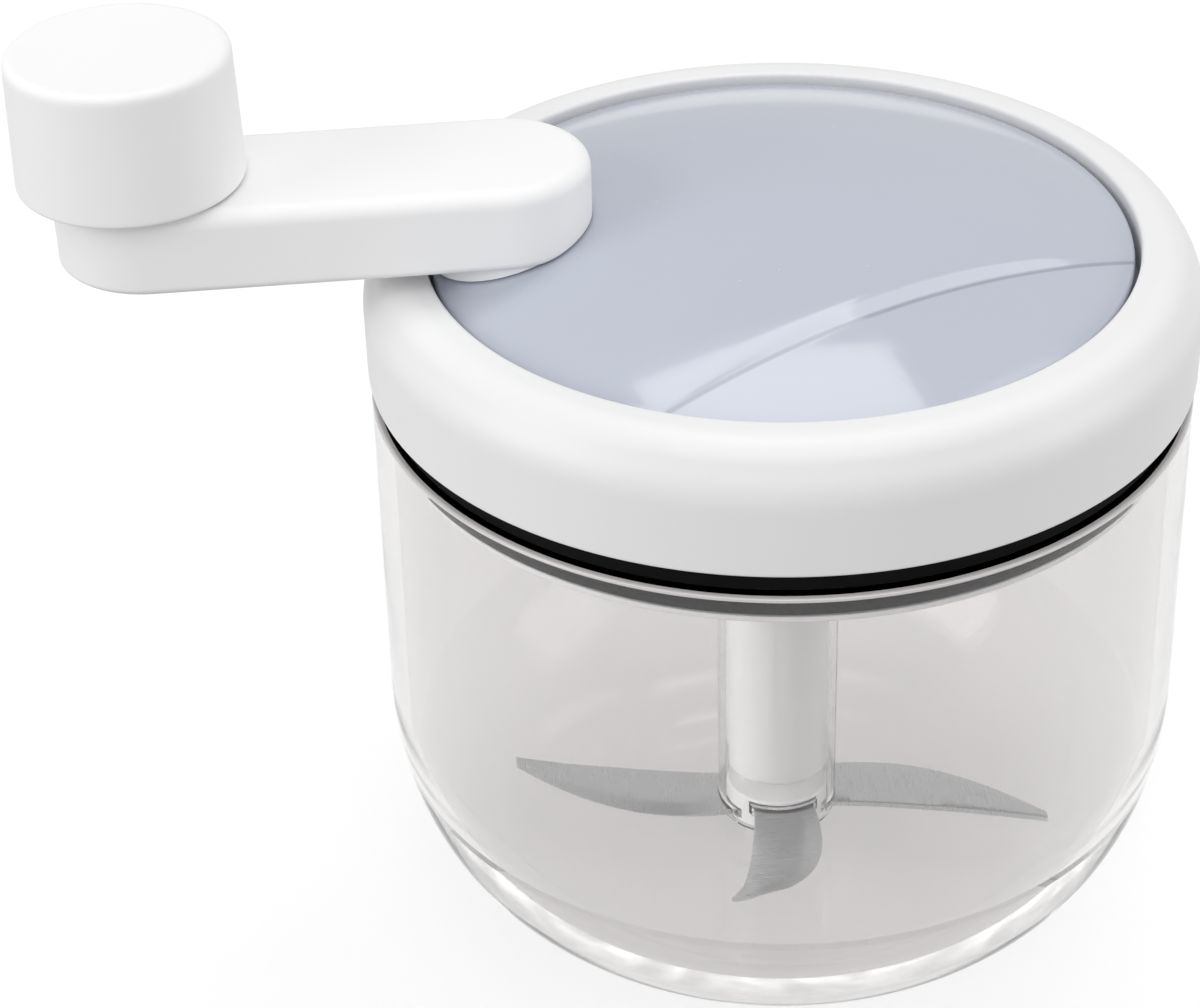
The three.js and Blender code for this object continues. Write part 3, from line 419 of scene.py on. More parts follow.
def blade(name, height, reach, lift, turn):
    """A strip from tip to tip, its grid running along the strip and round its section.

    A share of 0 at the hub and 1 at the tip is called wing. The middle line sweeps back by
    BLADE_SWEEP wing^2, and the strip rises by lift wing^2. Its width runs from root to tip with wing^2,
    with a belly of sin(pi wing) added. Each wing's leading side is ground from both faces to an edge.
    """
    along = np.linspace(-1, 1, 161)[:, None]
    side = np.sign(along)
    root = CORE_RADIUS / reach
    wing = np.maximum(0, (np.abs(along) - root) / (1 - root))
    width = BLADE_ROOT_WIDTH + (BLADE_TIP_WIDTH - BLADE_ROOT_WIDTH) * wing**2
    width = width + BLADE_BELLY * np.sin(np.pi * np.minimum(1, wing))
    bevel = np.minimum(BLADE_BEVEL, width / 3)
    thick = BLADE_THICKNESS / 2
    ground = thick + (BLADE_EDGE - thick) * np.minimum(1, 4 * wing)
    flat = np.full_like(ground, thick)
    blunt = 0.8 * flat
    low, high = np.where(side < 0, ground, blunt), np.where(side > 0, ground, blunt)
    low_edge = width / 2 - np.where(side < 0, bevel, 0.2)
    high_edge = width / 2 - np.where(side > 0, bevel, 0.2)
    across = refined(np.concatenate([-width / 2, -low_edge, high_edge, width / 2], axis=1))
    half = refined(np.concatenate([low, flat, flat, high], axis=1))
    x, y = along * reach, across - side * BLADE_SWEEP * wing**2
    level = height + lift * wing**2
    rings = np.concatenate([points(x, y, level + half), points(x, y, level - half)[:, ::-1]], axis=1)
    centres = np.repeat(rings[[0, -1]].mean(axis=1, keepdims=True), rings.shape[1], axis=1)
    rings = np.concatenate([centres[:1], rings, centres[1:]])
    c, s = np.cos(turn), np.sin(turn)
    piece = made(name, rings @ np.array([[c, s, 0], [-s, c, 0], [0, 0, 1]]))
    bore = bar(PIN_RADIUS + 2 * GAP, height - 2, height + 2, turns=FINE_TURNS)
    return shaped(piece, "DIFFERENCE", bore)


# The lid


def seal():
    inner = LIP_RADIUS - LIP_WALL
    corners = [
        (inner, LIP_BOTTOM + 0.3, 0.2),
        (inner + LIP_WALL / 2, LIP_BOTTOM, 0.3),
        (LIP_RADIUS, LIP_BOTTOM + LIP_WALL, 0.4),
        (LIP_RADIUS - 0.35, LIP_BOTTOM + 2.2, 0.3),
        (LIP_RADIUS, SEAL_BOTTOM, 0.2),
        (SEAL_RADIUS, SEAL_BOTTOM, 0.3),
        (SEAL_RADIUS - 0.2, (SEAL_BOTTOM + SEAL_TOP) / 2, 0.2),
        (SEAL_RADIUS, SEAL_TOP, 0.3),
        (inner, SEAL_TOP, 0.2),
    ]
    return turned("rim_seal", corners)


def lid_shell():
    groove = SKIRT_RADIUS + SNAP_GROOVE_DEPTH
    groove_bottom, groove_top = SNAP_HEIGHT - SNAP_GROOVE_REACH, SNAP_HEIGHT + SNAP_GROOVE_REACH
    corners = [
        (SKIRT_RADIUS, LID_BOTTOM, 0.3),
        (LID_RADIUS, LID_BOTTOM, 0.35),
        (LID_RADIUS, LID_SHOULDER, 1.6),
        (LID_RADIUS - 2.1, LID_TOP - 0.9, 1),
        (OPENING_RADIUS + 2.9, LID_TOP, 1.05),
        (OPENING_RADIUS, LID_TOP, 0.55),
        (OPENING_RADIUS, RETAINER_BOTTOM, 0.2),
        (RETAINER_RADIUS, RETAINER_BOTTOM, 0.2),
        (RETAINER_RADIUS, LID_TOP - LID_ROOF, 0.3),
        (SKIRT_RADIUS - 2, LID_TOP - LID_ROOF, 0.3),
        (SKIRT_RADIUS, LID_SHOULDER, 0.5),
        (SKIRT_RADIUS, groove_top, 0.1),
        (groove, groove_top, 0.1),
        (groove, groove_bottom, 0.1),
        (SKIRT_RADIUS, groove_bottom, 0.1),
    ]
    return turned("lid_shell", corners)


def lid_floor():
    """The lid's floor: turned, then given the axles' bosses, the cover's posts and their bores."""
    spigot_inner = SPIGOT_RADIUS - SPIGOT_WALL
    flange, flange_top = SPIGOT_RADIUS + SPIGOT_FLANGE, SPIGOT_BOTTOM + SPIGOT_FLANGE_HEIGHT
    corners = [
        (COLUMN_BORE, BEARING_BOTTOM, 0.1),
        (BEARING_RADIUS, BEARING_BOTTOM, 0.5),
        (BEARING_RADIUS, PLATE_BOTTOM, 0.6),
        (spigot_inner, PLATE_BOTTOM, 0.8),
        (spigot_inner, SPIGOT_BOTTOM, 0.3),
        (flange, SPIGOT_BOTTOM, 0.2),
        (flange, flange_top, 0.2),
        (SPIGOT_RADIUS, flange_top, 0.1),
        (SPIGOT_RADIUS, PLATE_BOTTOM, 0.2),
        (PLATE_RADIUS, PLATE_BOTTOM, 0.2),
        (PLATE_RADIUS, SNAP_HEIGHT - SNAP_BEAD),
        (PLATE_RADIUS + SNAP_BEAD, SNAP_HEIGHT, 0.2),
        (PLATE_RADIUS, SNAP_HEIGHT + SNAP_BEAD),
        (PLATE_RADIUS, PLATE_RIM_TOP, 0.2),
        (PLATE_RIM_INNER, PLATE_RIM_TOP, 0.2),
        (PLATE_RIM_INNER, PLATE_TOP, 0.3),
        (RIB_OUTER, PLATE_TOP, 0.2),
        (RIB_OUTER, RIB_TOP, 0.2),
        (RIB_INNER, RIB_TOP, 0.2),
        (RIB_INNER, PLATE_TOP, 0.3),
        (BEARING_RADIUS, PLATE_TOP, 0.3),
        (BEARING_RADIUS, BEARING_TOP, 0.2),
        (COLUMN_BORE, BEARING_TOP, 0.2),
    ]

    def boss(x, y):
        return bar(AXLE_BOSS_RADIUS, PLATE_TOP - 0.5, BEARING_TOP, x, y, FINE_TURNS, 0.2)

    def post(x, y):
        return bar(POST_RADIUS, PLATE_TOP - 0.5, GEAR_TOP, x, y, FINE_TURNS, 0.2)

    def axle_seat(x, y):
        return bar(AXLE_SEAT_RADIUS, PLATE_TOP - AXLE_SEAT_DEPTH, COVER_TOP, x, y, 32)

    def post_bore(x, y):
        return bar(POST_BORE_RADIUS, POST_BORE_BOTTOM, COVER_TOP, x, y, 24)

    floor_piece = turned("lid_floor", corners)
    wiper_seat = bar(WIPER_SEAT_RADIUS, BEARING_BOTTOM - PAST, BEARING_BOTTOM + WIPER_SEAT_DEPTH)
    sixth = FULL_TURN / 6
    shaped(floor_piece, "DIFFERENCE", wiper_seat)
    shaped(floor_piece, "UNION", *around(boss, IDLER_CIRCLE), *around(post, IDLER_CIRCLE, sixth))
    bores = [*around(axle_seat, IDLER_CIRCLE), *around(post_bore, IDLER_CIRCLE, sixth)]
    return shaped(floor_piece, "DIFFERENCE", *bores)


def wiper():
    low, high = BEARING_BOTTOM + 0.15, BEARING_BOTTOM + 1.35
    inner, outer = CORE_RADIUS + 0.15, COLUMN_BORE + 1.1
    corners = [(inner, low, 0.2), (outer, low, 0.3), (outer, high, 0.2), (inner, high, 0.2)]
    return turned("shaft_wiper", corners, turns=SMALL_TURNS)


def pinion():
    """An involute pinion: half a tooth spans t/2r + inv(pressure) - inv(acos(base/radius)).

    Here inv(a) is tan(a) - a, t is the thickness at the pitch circle, and r is that circle's radius.
    """
    teeth, module, pressure = 12, 1.2, np.radians(25)
    pitch = module * teeth / 2
    radius = pitch + module * np.array([-1.2, -0.5, 0, 0.5, 0.9])
    flank = np.arccos(np.minimum(1, pitch * np.cos(pressure) / radius))
    thickness = np.pi * module / 2 - 0.24
    half = thickness / (2 * pitch) + (np.tan(pressure) - pressure) - (np.tan(flank) - flank)
    radius = np.concatenate([radius, radius[::-1]])
    half = np.concatenate([-half, half[::-1]])
    centre = FULL_TURN * np.arange(teeth)[:, None] / teeth
    outline = np.stack(polar(radius, centre + half), axis=-1).reshape(-1, 2)
    return made("pinion", prism(outline, GEAR_BOTTOM, GEAR_TOP))


def core():
    """The drive shaft: the core in the column, notched below for the tongue, with the pinion on top."""
    corners = [
        (0, CORE_BOTTOM),
        (CORE_RADIUS, CORE_BOTTOM, 0.7),
        (CORE_RADIUS, BEARING_TOP, 0.2),
        (NECK_RADIUS, BEARING_TOP),
        (NECK_RADIUS, GEAR_TOP - GAP),
        (SPINDLE_RADIUS, GEAR_TOP - GAP),
        (SPINDLE_RADIUS, COVER_TOP, 0.3),
        (0, COVER_TOP),
    ]
    shaft = turned("drive_core", corners, closed=False, turns=SMALL_TURNS)
    shaped(shaft, "UNION", pinion())
    notch_top = HUB_TOP + TONGUE_HEIGHT + GAP
    notch = block(NOTCH_LENGTH, TONGUE_WIDTH + 2 * GAP, CORE_BOTTOM - PAST, notch_top)
    return shaped(shaft, "DIFFERENCE", notch)


# The crank


def dome(radius, apex=DISC_EDGE + DISC_RISE, rise=DISC_RISE):
    """Height of a spherical dome: apex - S + sqrt(S^2 - radius^2), with S from its rise."""
    sphere = (DISC_RADIUS**2 + rise**2) / (2 * rise)
    return apex - sphere + np.sqrt(sphere**2 - radius**2)


def soft_least(a, b, softness):
    """The lesser of two heights, eased: their mean less half of hypot(a - b, softness)."""
    return (a + b) / 2 - np.hypot(a - b, softness) / 2


def disc_height(out, side):
    """The disc's top over its crease: the dome, cut beyond a line by a flatter dome and a bank to it.

    The bank rises from the flatter dome at the line, inwards, at its slope. The foot is eased by taking
    the greater of the bank and the flatter dome, and the upper edge by taking the lesser with the dome.
    """
    apex = DISC_EDGE + FACET_RISE - FACET_SINK
    radius = np.hypot(out, side)
    facet = dome(radius, apex, FACET_RISE)
    at_line = dome(np.hypot(CREASE_DISTANCE, side), apex, FACET_RISE)
    bank = at_line + (CREASE_DISTANCE - out) * CREASE_SLOPE
    cut = -soft_least(-bank, -facet, CREASE_FOOT_EASE)
    return soft_least(dome(radius), cut, CREASE_TOP_EASE)


def on_disc(out, side, height):
    """Points from distances out towards the crease and to the side of it."""
    c, s = np.cos(CREASE_ANGLE), np.sin(CREASE_ANGLE)
    return np.stack([out * c - side * s, out * s + side * c, height], axis=-1)


def disc():
    """The domed disc: its top is a grid of chords beside the crease, and the rest is turned.

    A chord lies at R sin(a) from the axis and is R cos(a) long to each side, so the chords' ends share
    the rim out evenly, and the turned rest starts from those same ends.
    """
    reach = DISC_RADIUS - DISC_EDGE_ROUND
    line = np.arcsin(CREASE_DISTANCE / reach)
    angle = np.concatenate(
        [
            np.linspace(-np.pi / 2, line - 0.13, 130, endpoint=False),
            np.linspace(line - 0.13, line + 0.03, 50, endpoint=False),
            np.linspace(line + 0.03, np.pi / 2, 60),
        ]
    )
    out = np.repeat(reach * np.sin(angle)[:, None], 161, axis=1)
    side = reach * np.cos(angle)[:, None] * np.linspace(-1, 1, 161)
    top = on_disc(out, side, disc_height(out, side))
    ends = np.pi / 2 - angle
    rim = np.concatenate([ends, -ends[1:-1][::-1]])
    start = disc_height(*polar(reach, rim))
    turn = np.linspace(0, np.pi / 2, 7)[:, None]
    low = DISC_EDGE - DISC_EDGE_HEIGHT
    radius = reach + DISC_EDGE_ROUND * np.sin(turn) + 0 * rim
    edge = on_disc(*polar(radius, rim), low + (start - low) * np.cos(turn))
    under = np.linspace(DISC_INSIDE, 0, 24)
    lower = eased(
        [
            (DISC_RADIUS, low),
            (DISC_RADIUS, FLANGE_TOP, 0.2),
            (FLANGE_RADIUS, FLANGE_TOP, 0.2),
            (FLANGE_RADIUS, FLANGE_BOTTOM, 0.2),
            (DISC_INSIDE, FLANGE_BOTTOM, 0.2),
            *np.stack([under, dome(under) - DISC_WALL], axis=1),
        ],
        closed=False,
    )
    rest = on_disc(*polar(lower[:, :1], rim), lower[:, 1:] + 0 * rim)
    turned_rest = sheet(np.concatenate([edge, rest[1:]]))
    return joined("dome_disc", sheet(top, columns_closed=False), turned_rest)


def stadium(rows):
    """Rings of a bar with round ends, one for each row of (inner end, outer end, half width, height).

    A ring's point is its end's centre plus the half width times (cos, sin) of an angle that turns half
    round at each end, and the straights between them are shared out evenly.
    """
    rows = np.asarray(rows, float)[:, :, None]
    inner, outer, half, height = rows[:, 0], rows[:, 1], rows[:, 2], rows[:, 3]
    turn = np.linspace(-np.pi / 2, np.pi / 2, 41)
    share = np.linspace(0, 1, 14)[1:-1]
    place = np.concatenate([0 * turn, share, 1 + 0 * turn, share[::-1]])
    x = np.concatenate([np.cos(turn), 0 * share, -np.cos(turn), 0 * share])
    y = np.concatenate([np.sin(turn), 1 + 0 * share, -np.sin(turn), -1 + 0 * share])
    centre = -(inner + place * (outer - inner))
    return points(centre + half * x, half * y, height)


def stadium_bar(name, inner, outer, half, low, high, ease):
    """A bar with round ends and rounded long edges."""
    turn = np.linspace(0, np.pi / 2, 5)
    rise, inset = ease * (1 - np.cos(turn)), ease * (1 - np.sin(turn))
    rows = [(inner, outer, 0, low)]
    rows += [(inner, outer, half - near, low + up) for near, up in zip(inset, rise)]
    rows += [(inner, outer, half - near, high - down) for near, down in zip(rise, inset)]
    rows += [(inner, outer, 0, high)]
    return made(name, stadium(rows))


def arm():
    """The arm: rounded more above than below, its hub cut to the dome, hollow past the lid."""
    turn = np.linspace(0, np.pi / 2, 13)
    half, low, high = ARM_HALF_WIDTH, ARM_BOTTOM_ROUND, ARM_TOP_ROUND
    inner, outer = ARM_INNER + 0 * turn, ARM_OUTER + 0 * turn
    rows = [(ARM_INNER, ARM_OUTER - low, share * (half - low), ARM_BOTTOM) for share in (0, 0.5, 0.96)]
    inset = low * (1 - np.sin(turn))
    rows += [*zip(inner, outer - inset, half - inset, ARM_BOTTOM + low * (1 - np.cos(turn)))]
    for height in (ARM_BOTTOM + low + 0.3, ARM_TOP - high - 0.3):
        rows.append((ARM_INNER, ARM_OUTER, half, height))
    inset = high * (1 - np.cos(turn))
    rows += [*zip(inner, outer, half - inset, ARM_TOP - high * (1 - np.sin(turn)))]
    rows += [(ARM_INNER, ARM_OUTER, share * (half - high), ARM_TOP) for share in (0.96, 0.5, 0)]
    piece = made("crank_bar", stadium(rows))
    shaped(piece, "UNION", bar(HUB_RADIUS, HUB_START, ARM_TOP - high - GAP, -HUB_CENTRE, 0))
    past_disc = DISC_RADIUS + PAST
    radius = np.linspace(0, past_disc, 40)
    under = np.stack([radius, dome(radius) + GAP], axis=1)
    ground = turned("ground", [*under, (past_disc, PLATE_TOP), (0, PLATE_TOP)], closed=False, turns=128)
    width = COVER_HALF_WIDTH + GAP
    roof = ARM_BOTTOM + COVER_THICKNESS + GAP
    pocket = stadium_bar("pocket", COVER_INNER, ARM_OUTER, width, ARM_BOTTOM - PAST, roof, 0.1)
    roof = ARM_TOP - ARM_ROOF
    hollow = stadium_bar("hollow", COVER_INNER, ARM_OUTER, width - 1, ARM_BOTTOM, roof, 0.3)
    shaped(piece, "DIFFERENCE", ground, pocket)
    shaped(piece, "DIFFERENCE", hollow)
    knob_axis = (-CRANK_RADIUS, 0, FINE_TURNS)
    shaped(piece, "UNION", bar(KNOB_POST_RADIUS, KNOB_POST_BOTTOM, ARM_TOP - high, *knob_axis))
    bore = bar(KNOB_BORE_RADIUS, ARM_BOTTOM - PAST, ARM_TOP + PAST, *knob_axis)
    return shaped(piece, "DIFFERENCE", bore)


def arm_plate():
    high = ARM_BOTTOM + COVER_THICKNESS
    return stadium_bar("bar_cover", COVER_INNER, ARM_OUTER, COVER_HALF_WIDTH, ARM_BOTTOM, high, 0.25)


def grip():
    roof = KNOB_TOP - KNOB_ROOF
    socket = KNOB_BOTTOM + KNOB_SOCKET_DEPTH
    corners = [
        (0, socket),
        (KNOB_SOCKET_RADIUS, socket),
        (KNOB_SOCKET_RADIUS, KNOB_BOTTOM),
        (KNOB_STEM_RADIUS, KNOB_BOTTOM, 0.2),
        (KNOB_STEM_RADIUS, roof, 0.4),
        (KNOB_TOP_RADIUS - KNOB_WALL, roof, 0.5),
        (KNOB_LOW_RADIUS - KNOB_WALL, KNOB_BOTTOM, 0.2),
        (KNOB_LOW_RADIUS, KNOB_BOTTOM, 0.55),
        (KNOB_TOP_RADIUS, KNOB_TOP, 1.1),
        (0, KNOB_TOP),
    ]
    return turned("grip_knob", corners, closed=False, turns=160, x=-CRANK_RADIUS)


# Finishes


class Level:
    """A number or colour that varies over a surface: a node's output, with arithmetic."""

    def __init__(self, finish, socket):
        self.finish = finish
        self.socket = socket

    def __add__(self, other):
        return self.finish.math("ADD", self, other)

    def __sub__(self, other):
        return self.finish.math("SUBTRACT", self, other)

    def __mul__(self, other):
        return self.finish.math("MULTIPLY", self, other)

    __radd__ = __add__
    __rmul__ = __mul__


class Finish:
    """A material on the Principled shader, with its constant sockets set directly."""

    def __init__(self, name, constants):
        self.material = bpy.data.materials.new(name)
        self.material.use_nodes = True
        self.tree = self.material.node_tree
        self.shader = self.tree.nodes["Principled BSDF"]
        for socket, value in constants.items():
            self.shader.inputs[socket].default_value = value
        place = self.node("ShaderNodeTexCoord", {}, {}, "Object")
        self.place = self.vectors("SCALE", {"Vector": place, "Scale": 1 / MM})

    def node(self, kind, settings, sockets, output=0):
        """Adds a node: its settings first, then the values or links of its sockets."""
        added = self.tree.nodes.new(kind)
        for name, value in settings.items():
            setattr(added, name, value)
        for name, value in sockets.items():
            self.feed(added.inputs[name], value)
        return Level(self, added.outputs[output])

    def feed(self, socket, value):
        if isinstance(value, Level):
            self.tree.links.new(value.socket, socket)
        else:
            socket.default_value = value

    def math(self, operation, *values):
        return self.node("ShaderNodeMath", {"operation": operation}, dict(enumerate(values)))

    def vectors(self, operation, sockets, output=0):
        return self.node("ShaderNodeVectorMath", {"operation": operation}, sockets, output)

    def stretched(self, x, y, z):
        """The place in millimetres, scaled along each axis."""
        return self.node("ShaderNodeMapping", {}, {"Vector": self.place, "Scale": (x, y, z)})

    def noise(self, size, detail=2, place=None, sharpness=0.5):
        """Soft noise from 0 to 1, whose lumps are about a size in millimetres."""
        sockets = {"Vector": place or self.place, "Scale": 1 / size}
        sockets.update({"Detail": detail, "Roughness": sharpness})
        return self.node("ShaderNodeTexNoise", {}, sockets)

    def spots(self, size, reach):
        """1 in small round spots, about a size apart, and 0 between them."""
        far = self.node("ShaderNodeTexVoronoi", {}, {"Vector": self.place, "Scale": 1 / size})
        return self.within(far, reach, 0)

    def within(self, value, low, high):
        """A value's run from low to high as a smooth 0 to 1."""
        sockets = {"Value": value, "From Min": low, "From Max": high}
        return self.node("ShaderNodeMapRange", {"interpolation_type": "SMOOTHSTEP"}, sockets)

    def between(self, share, first, second):
        """A colour between two others."""
        sockets = {0: share, 6: self.colour(first), 7: self.colour(second)}
        return self.node("ShaderNodeMix", {"data_type": "RGBA"}, sockets, 2)

    @staticmethod
    def colour(value):
        return value if isinstance(value, Level) else (*value, 1)

    def bumped(self, height, depth, normal=None):
        """A Bump node's normal: the height is from 0 to 1, and the depth is in millimetres."""
        sockets = {"Height": height, "Distance": depth * MM, "Strength": 1.0}
        if normal:
            sockets["Normal"] = normal
        return self.node("ShaderNodeBump", {}, sockets)

    def path(self, kind):
        """1 for the rays that Light Path calls a kind, and 0 for others."""
        return self.node("ShaderNodeLightPath", {}, {}, kind)

    def surfaced(self, surface):
        """Puts another shader in the place of the Principled one."""
        self.feed(self.tree.nodes["Material Output"].inputs["Surface"], surface)

    def lamp_lit(self, tint):
        """Lets a share of the lamps' light through to what is inside."""
        clear = self.node("ShaderNodeBsdfTransparent", {}, {"Color": (*tint, 1)})
        body = Level(self, self.shader.outputs[0])
        sockets = {0: self.path("Is Shadow Ray"), 1: body, 2: clear}
        self.surfaced(self.node("ShaderNodeMixShader", {}, sockets))

    def dress(self, colour, roughness=None, normal=None):
        for socket, value in (("Base Color", colour), ("Roughness", roughness), ("Normal", normal)):
            if value is not None:
                self.feed(self.shader.inputs[socket], value)
        return self.material


def white_plastic(name, dark, pale, gloss=0.5, roughness=0.39):
    """Moulded white plastic: faint flow in its colour, an orange-peel skin, fine handling marks."""
    finish = Finish(name, {"IOR": 1.5, "Specular IOR Level": gloss})
    flow = finish.noise(26, 3)
    marks = finish.within(finish.noise(1.6, 4, finish.stretched(1, 0.12, 0.6), 0.7), 0.6, 0.78)
    colour = finish.between(flow, dark, pale)
    skin = finish.bumped(finish.noise(2.4, 2), 0.006)
    grain = finish.bumped(finish.noise(0.22, 2), 0.0016, skin)
    return finish.dress(colour, roughness + 0.08 * finish.noise(5, 3) + 0.07 * marks, grain)


def disc_plastic():
    """The disc's pale blue-grey plastic: deep gloss, slow ripples, faint wiping marks and dust.

    A thin darker line along the crease's foot is painted shade.
    """
    constants = {"IOR": 1.5, "Coat Weight": 0.35, "Coat Roughness": 0.04, "Coat IOR": 1.5}
    finish = Finish("disc_plastic", constants)
    flow = finish.noise(34, 3)
    wipes = finish.within(finish.noise(0.7, 5, finish.stretched(0.9, 0.05, 0.3), 0.75), 0.57, 0.75)
    dust = finish.spots(3.1, 0.045)
    colour = finish.between(flow, (0.449, 0.478, 0.559), (0.489, 0.518, 0.599))
    colour = finish.between(0.5 * dust, colour, (0.8, 0.8, 0.82))
    # Painted shade: a thin darker line along the crease's foot.
    outwards = (*map(float, polar(1, CREASE_ANGLE)), 0)
    out = finish.vectors("DOT_PRODUCT", {0: finish.place, 1: outwards}, "Value")
    off_line = finish.math("ABSOLUTE", out - CREASE_DISTANCE)
    colour = finish.between(finish.within(off_line, 0.4, 0.1), colour, (0.33, 0.35, 0.42))
    roughness = 0.09 + 0.05 * finish.noise(9, 3) + 0.06 * wipes + 0.3 * dust
    ripple = finish.bumped(finish.noise(5.5, 2), 0.03)
    return finish.dress(colour, roughness, finish.bumped(finish.noise(1.2, 2), 0.0012, ripple))


def clear_plastic(name, tint, shade=0.985, index=1.49, clearness=1, coat=0, roughness=0.012):
    """Clear plastic: polished, with slow moulded waves and hair-fine wiping marks.

    The heel bends light less than the wall, so that it stays light, and has its gloss from a coat. Its
    darker tint is painted shade. The rim's milky, partly opaque edge is a painted highlight, where a
    moulded edge catches the light.
    """
    constants = {"IOR": index, "Transmission Weight": clearness}
    constants.update({"Coat Weight": coat, "Coat Roughness": 0.02})
    finish = Finish(name, constants)
    flow = finish.noise(22, 2)
    colour = finish.between(flow, [0.985 * part for part in tint], tint)
    marks = finish.within(finish.noise(0.9, 5, finish.stretched(0.6, 0.6, 0.05), 0.7), 0.6, 0.8)
    waves = finish.bumped(finish.noise(11, 1), 0.012)
    finish.lamp_lit((shade, shade, shade))
    return finish.dress(colour, roughness + 0.05 * marks, waves)


def rubber():
    """Black rubber: a dull skin with mould grain and a dusting of grey bloom."""
    finish = Finish("black_rubber", {"IOR": 1.5, "Specular IOR Level": 0.05})
    colour = finish.between(finish.noise(4, 4), (0.003, 0.003, 0.0031), (0.007, 0.007, 0.0072))
    grain = finish.bumped(finish.noise(0.3, 3), 0.012)
    return finish.dress(colour, 0.5 + 0.18 * finish.noise(1.1, 3), grain)


def blade_steel(name, x, y):
    """Stainless strip with fine grinding lines across it, from noise that is stretched along them."""
    finish = Finish(name, {"Metallic": 1.0})
    lines = finish.noise(0.3, 3, finish.stretched(x, y, 0.3), 0.6)
    cloud = finish.noise(6, 2)
    colour = finish.between(0.7 * lines + 0.3 * cloud, (0.52, 0.53, 0.54), (0.68, 0.69, 0.7))
    return finish.dress(colour, 0.2 + 0.12 * lines + 0.05 * cloud, finish.bumped(lines, 0.002))


def turned_metal(name, dark, pale, roughness):
    """Turned metal: fine rings from noise stretched across the height, and small stains."""
    finish = Finish(name, {"Metallic": 1.0})
    rings = finish.noise(0.25, 3, finish.stretched(0.05, 0.05, 1), 0.6)
    stains = finish.noise(2.5, 4)
    colour = finish.between(0.6 * rings + 0.4 * stains, dark, pale)
    return finish.dress(colour, roughness + 0.14 * stains, finish.bumped(rings, 0.005))


def gear_plastic():
    """Natural acetal: a warm white with a waxy, slightly uneven sheen."""
    finish = Finish("gear_plastic", {"IOR": 1.48})
    colour = finish.between(finish.noise(6, 3), (0.72, 0.69, 0.61), (0.8, 0.77, 0.69))
    grain = finish.bumped(finish.noise(0.4, 3), 0.008)
    return finish.dress(colour, 0.42 + 0.14 * finish.noise(1.5, 3), grain)


WALL_TINT = (0.83, 0.818, 0.812)
# Painted shade: the heel's tint is darker than the wall's, which greys the bowl's lower part.
HEEL_SHADE_TINT = (0.8, 0.788, 0.782)
# Painted highlight: the rim's outer edge is milky and partly opaque, where a moulded edge catches the
# light.
RIM_HIGHLIGHT_TINT = (0.84, 0.81, 0.8)
LID_WHITE = (0.785, 0.785, 0.79), (0.835, 0.835, 0.84)
# Painted light: the crank's white is paler than the lid's, so that the arm and knob read brighter than
# the lid's wall.
CRANK_WHITE = (0.855, 0.855, 0.86), (0.905, 0.905, 0.91)
# Painted light: the core's white is paler than the lid's, and its sleeve is left untinted, so that the
# core reads bright behind the clear walls.
CORE_LIT_WHITE = (0.9, 0.9, 0.9), (0.94, 0.94, 0.94)
STEEL = (0.36, 0.37, 0.38), (0.56, 0.57, 0.58)
BRASS = (0.5, 0.36, 0.14), (0.66, 0.5, 0.23)

FINISHES = {
    "white_plastic": white_plastic("white_plastic", *LID_WHITE),
    "crank_plastic": white_plastic("crank_plastic", *CRANK_WHITE, gloss=0.25, roughness=0.55),
    "core_plastic_painted_light": white_plastic("core_plastic_painted_light", *CORE_LIT_WHITE),
    "disc_plastic": disc_plastic(),
    "clear_plastic": clear_plastic("clear_plastic", WALL_TINT),
    "clear_heel_shaded": clear_plastic("clear_heel_shaded", HEEL_SHADE_TINT, index=1.1, coat=0.5),
    "clear_rim_painted_highlight": clear_plastic("clear_rim_painted_highlight", RIM_HIGHLIGHT_TINT, clearness=0.3, roughness=0.3),
    "clear_sleeve": clear_plastic("clear_sleeve", (1, 1, 1), shade=1),
    "black_rubber": rubber(),
    "blade_steel": blade_steel("blade_steel", 1, 0.006),
    "high_blade_steel": blade_steel("high_blade_steel", 0.006, 1),
    "pin_steel": turned_metal("pin_steel", *STEEL, 0.28),
    "brass": turned_metal("brass", *BRASS, 0.25),
    "gear_plastic": gear_plastic(),
}


# Assembly


def fitted(piece, body, slot, *nodes, finish=None):
    """Smooths a piece but for its sharp corners, gives it its finish and its body, and hides the CAD
    nodes it stands for.
    """
    piece.data.shade_smooth()
    piece.data.set_sharp_from_angle(angle=np.radians(32))
    weights = piece.modifiers.new("weights", "WEIGHTED_NORMAL")
    weights.keep_sharp = True
    applied(piece)
    piece.data.materials.clear()
    piece.data.materials.append(FINISHES[finish or slot])
    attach(piece, body)
    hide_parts(*nodes)
    return piece


def banded(piece):
    """Gives the bowl's faces in the heel and on the rim's outer edge their own finishes.

    The heel's darker tint is painted shade, and the rim edge's milky finish is a painted highlight.
    """
    piece.data.materials.append(FINISHES["clear_heel_shaded"])
    piece.data.materials.append(FINISHES["clear_rim_painted_highlight"])
    centres = np.empty(3 * len(piece.data.polygons))
    piece.data.polygons.foreach_get("center", centres)
    x, y, height = centres.reshape(-1, 3).T / MM
    # The rim's outer edge gets the finish with the painted highlight.
    edge = (height > BOWL_HEIGHT - RIM_ROUND) & (np.hypot(x, y) > RIM_RADIUS - RIM_HIGHLIGHT_REACH)
    band = 1 * (height < HEEL_HEIGHT) + 2 * edge
    piece.data.polygons.foreach_set("material_index", band.astype(np.int32))


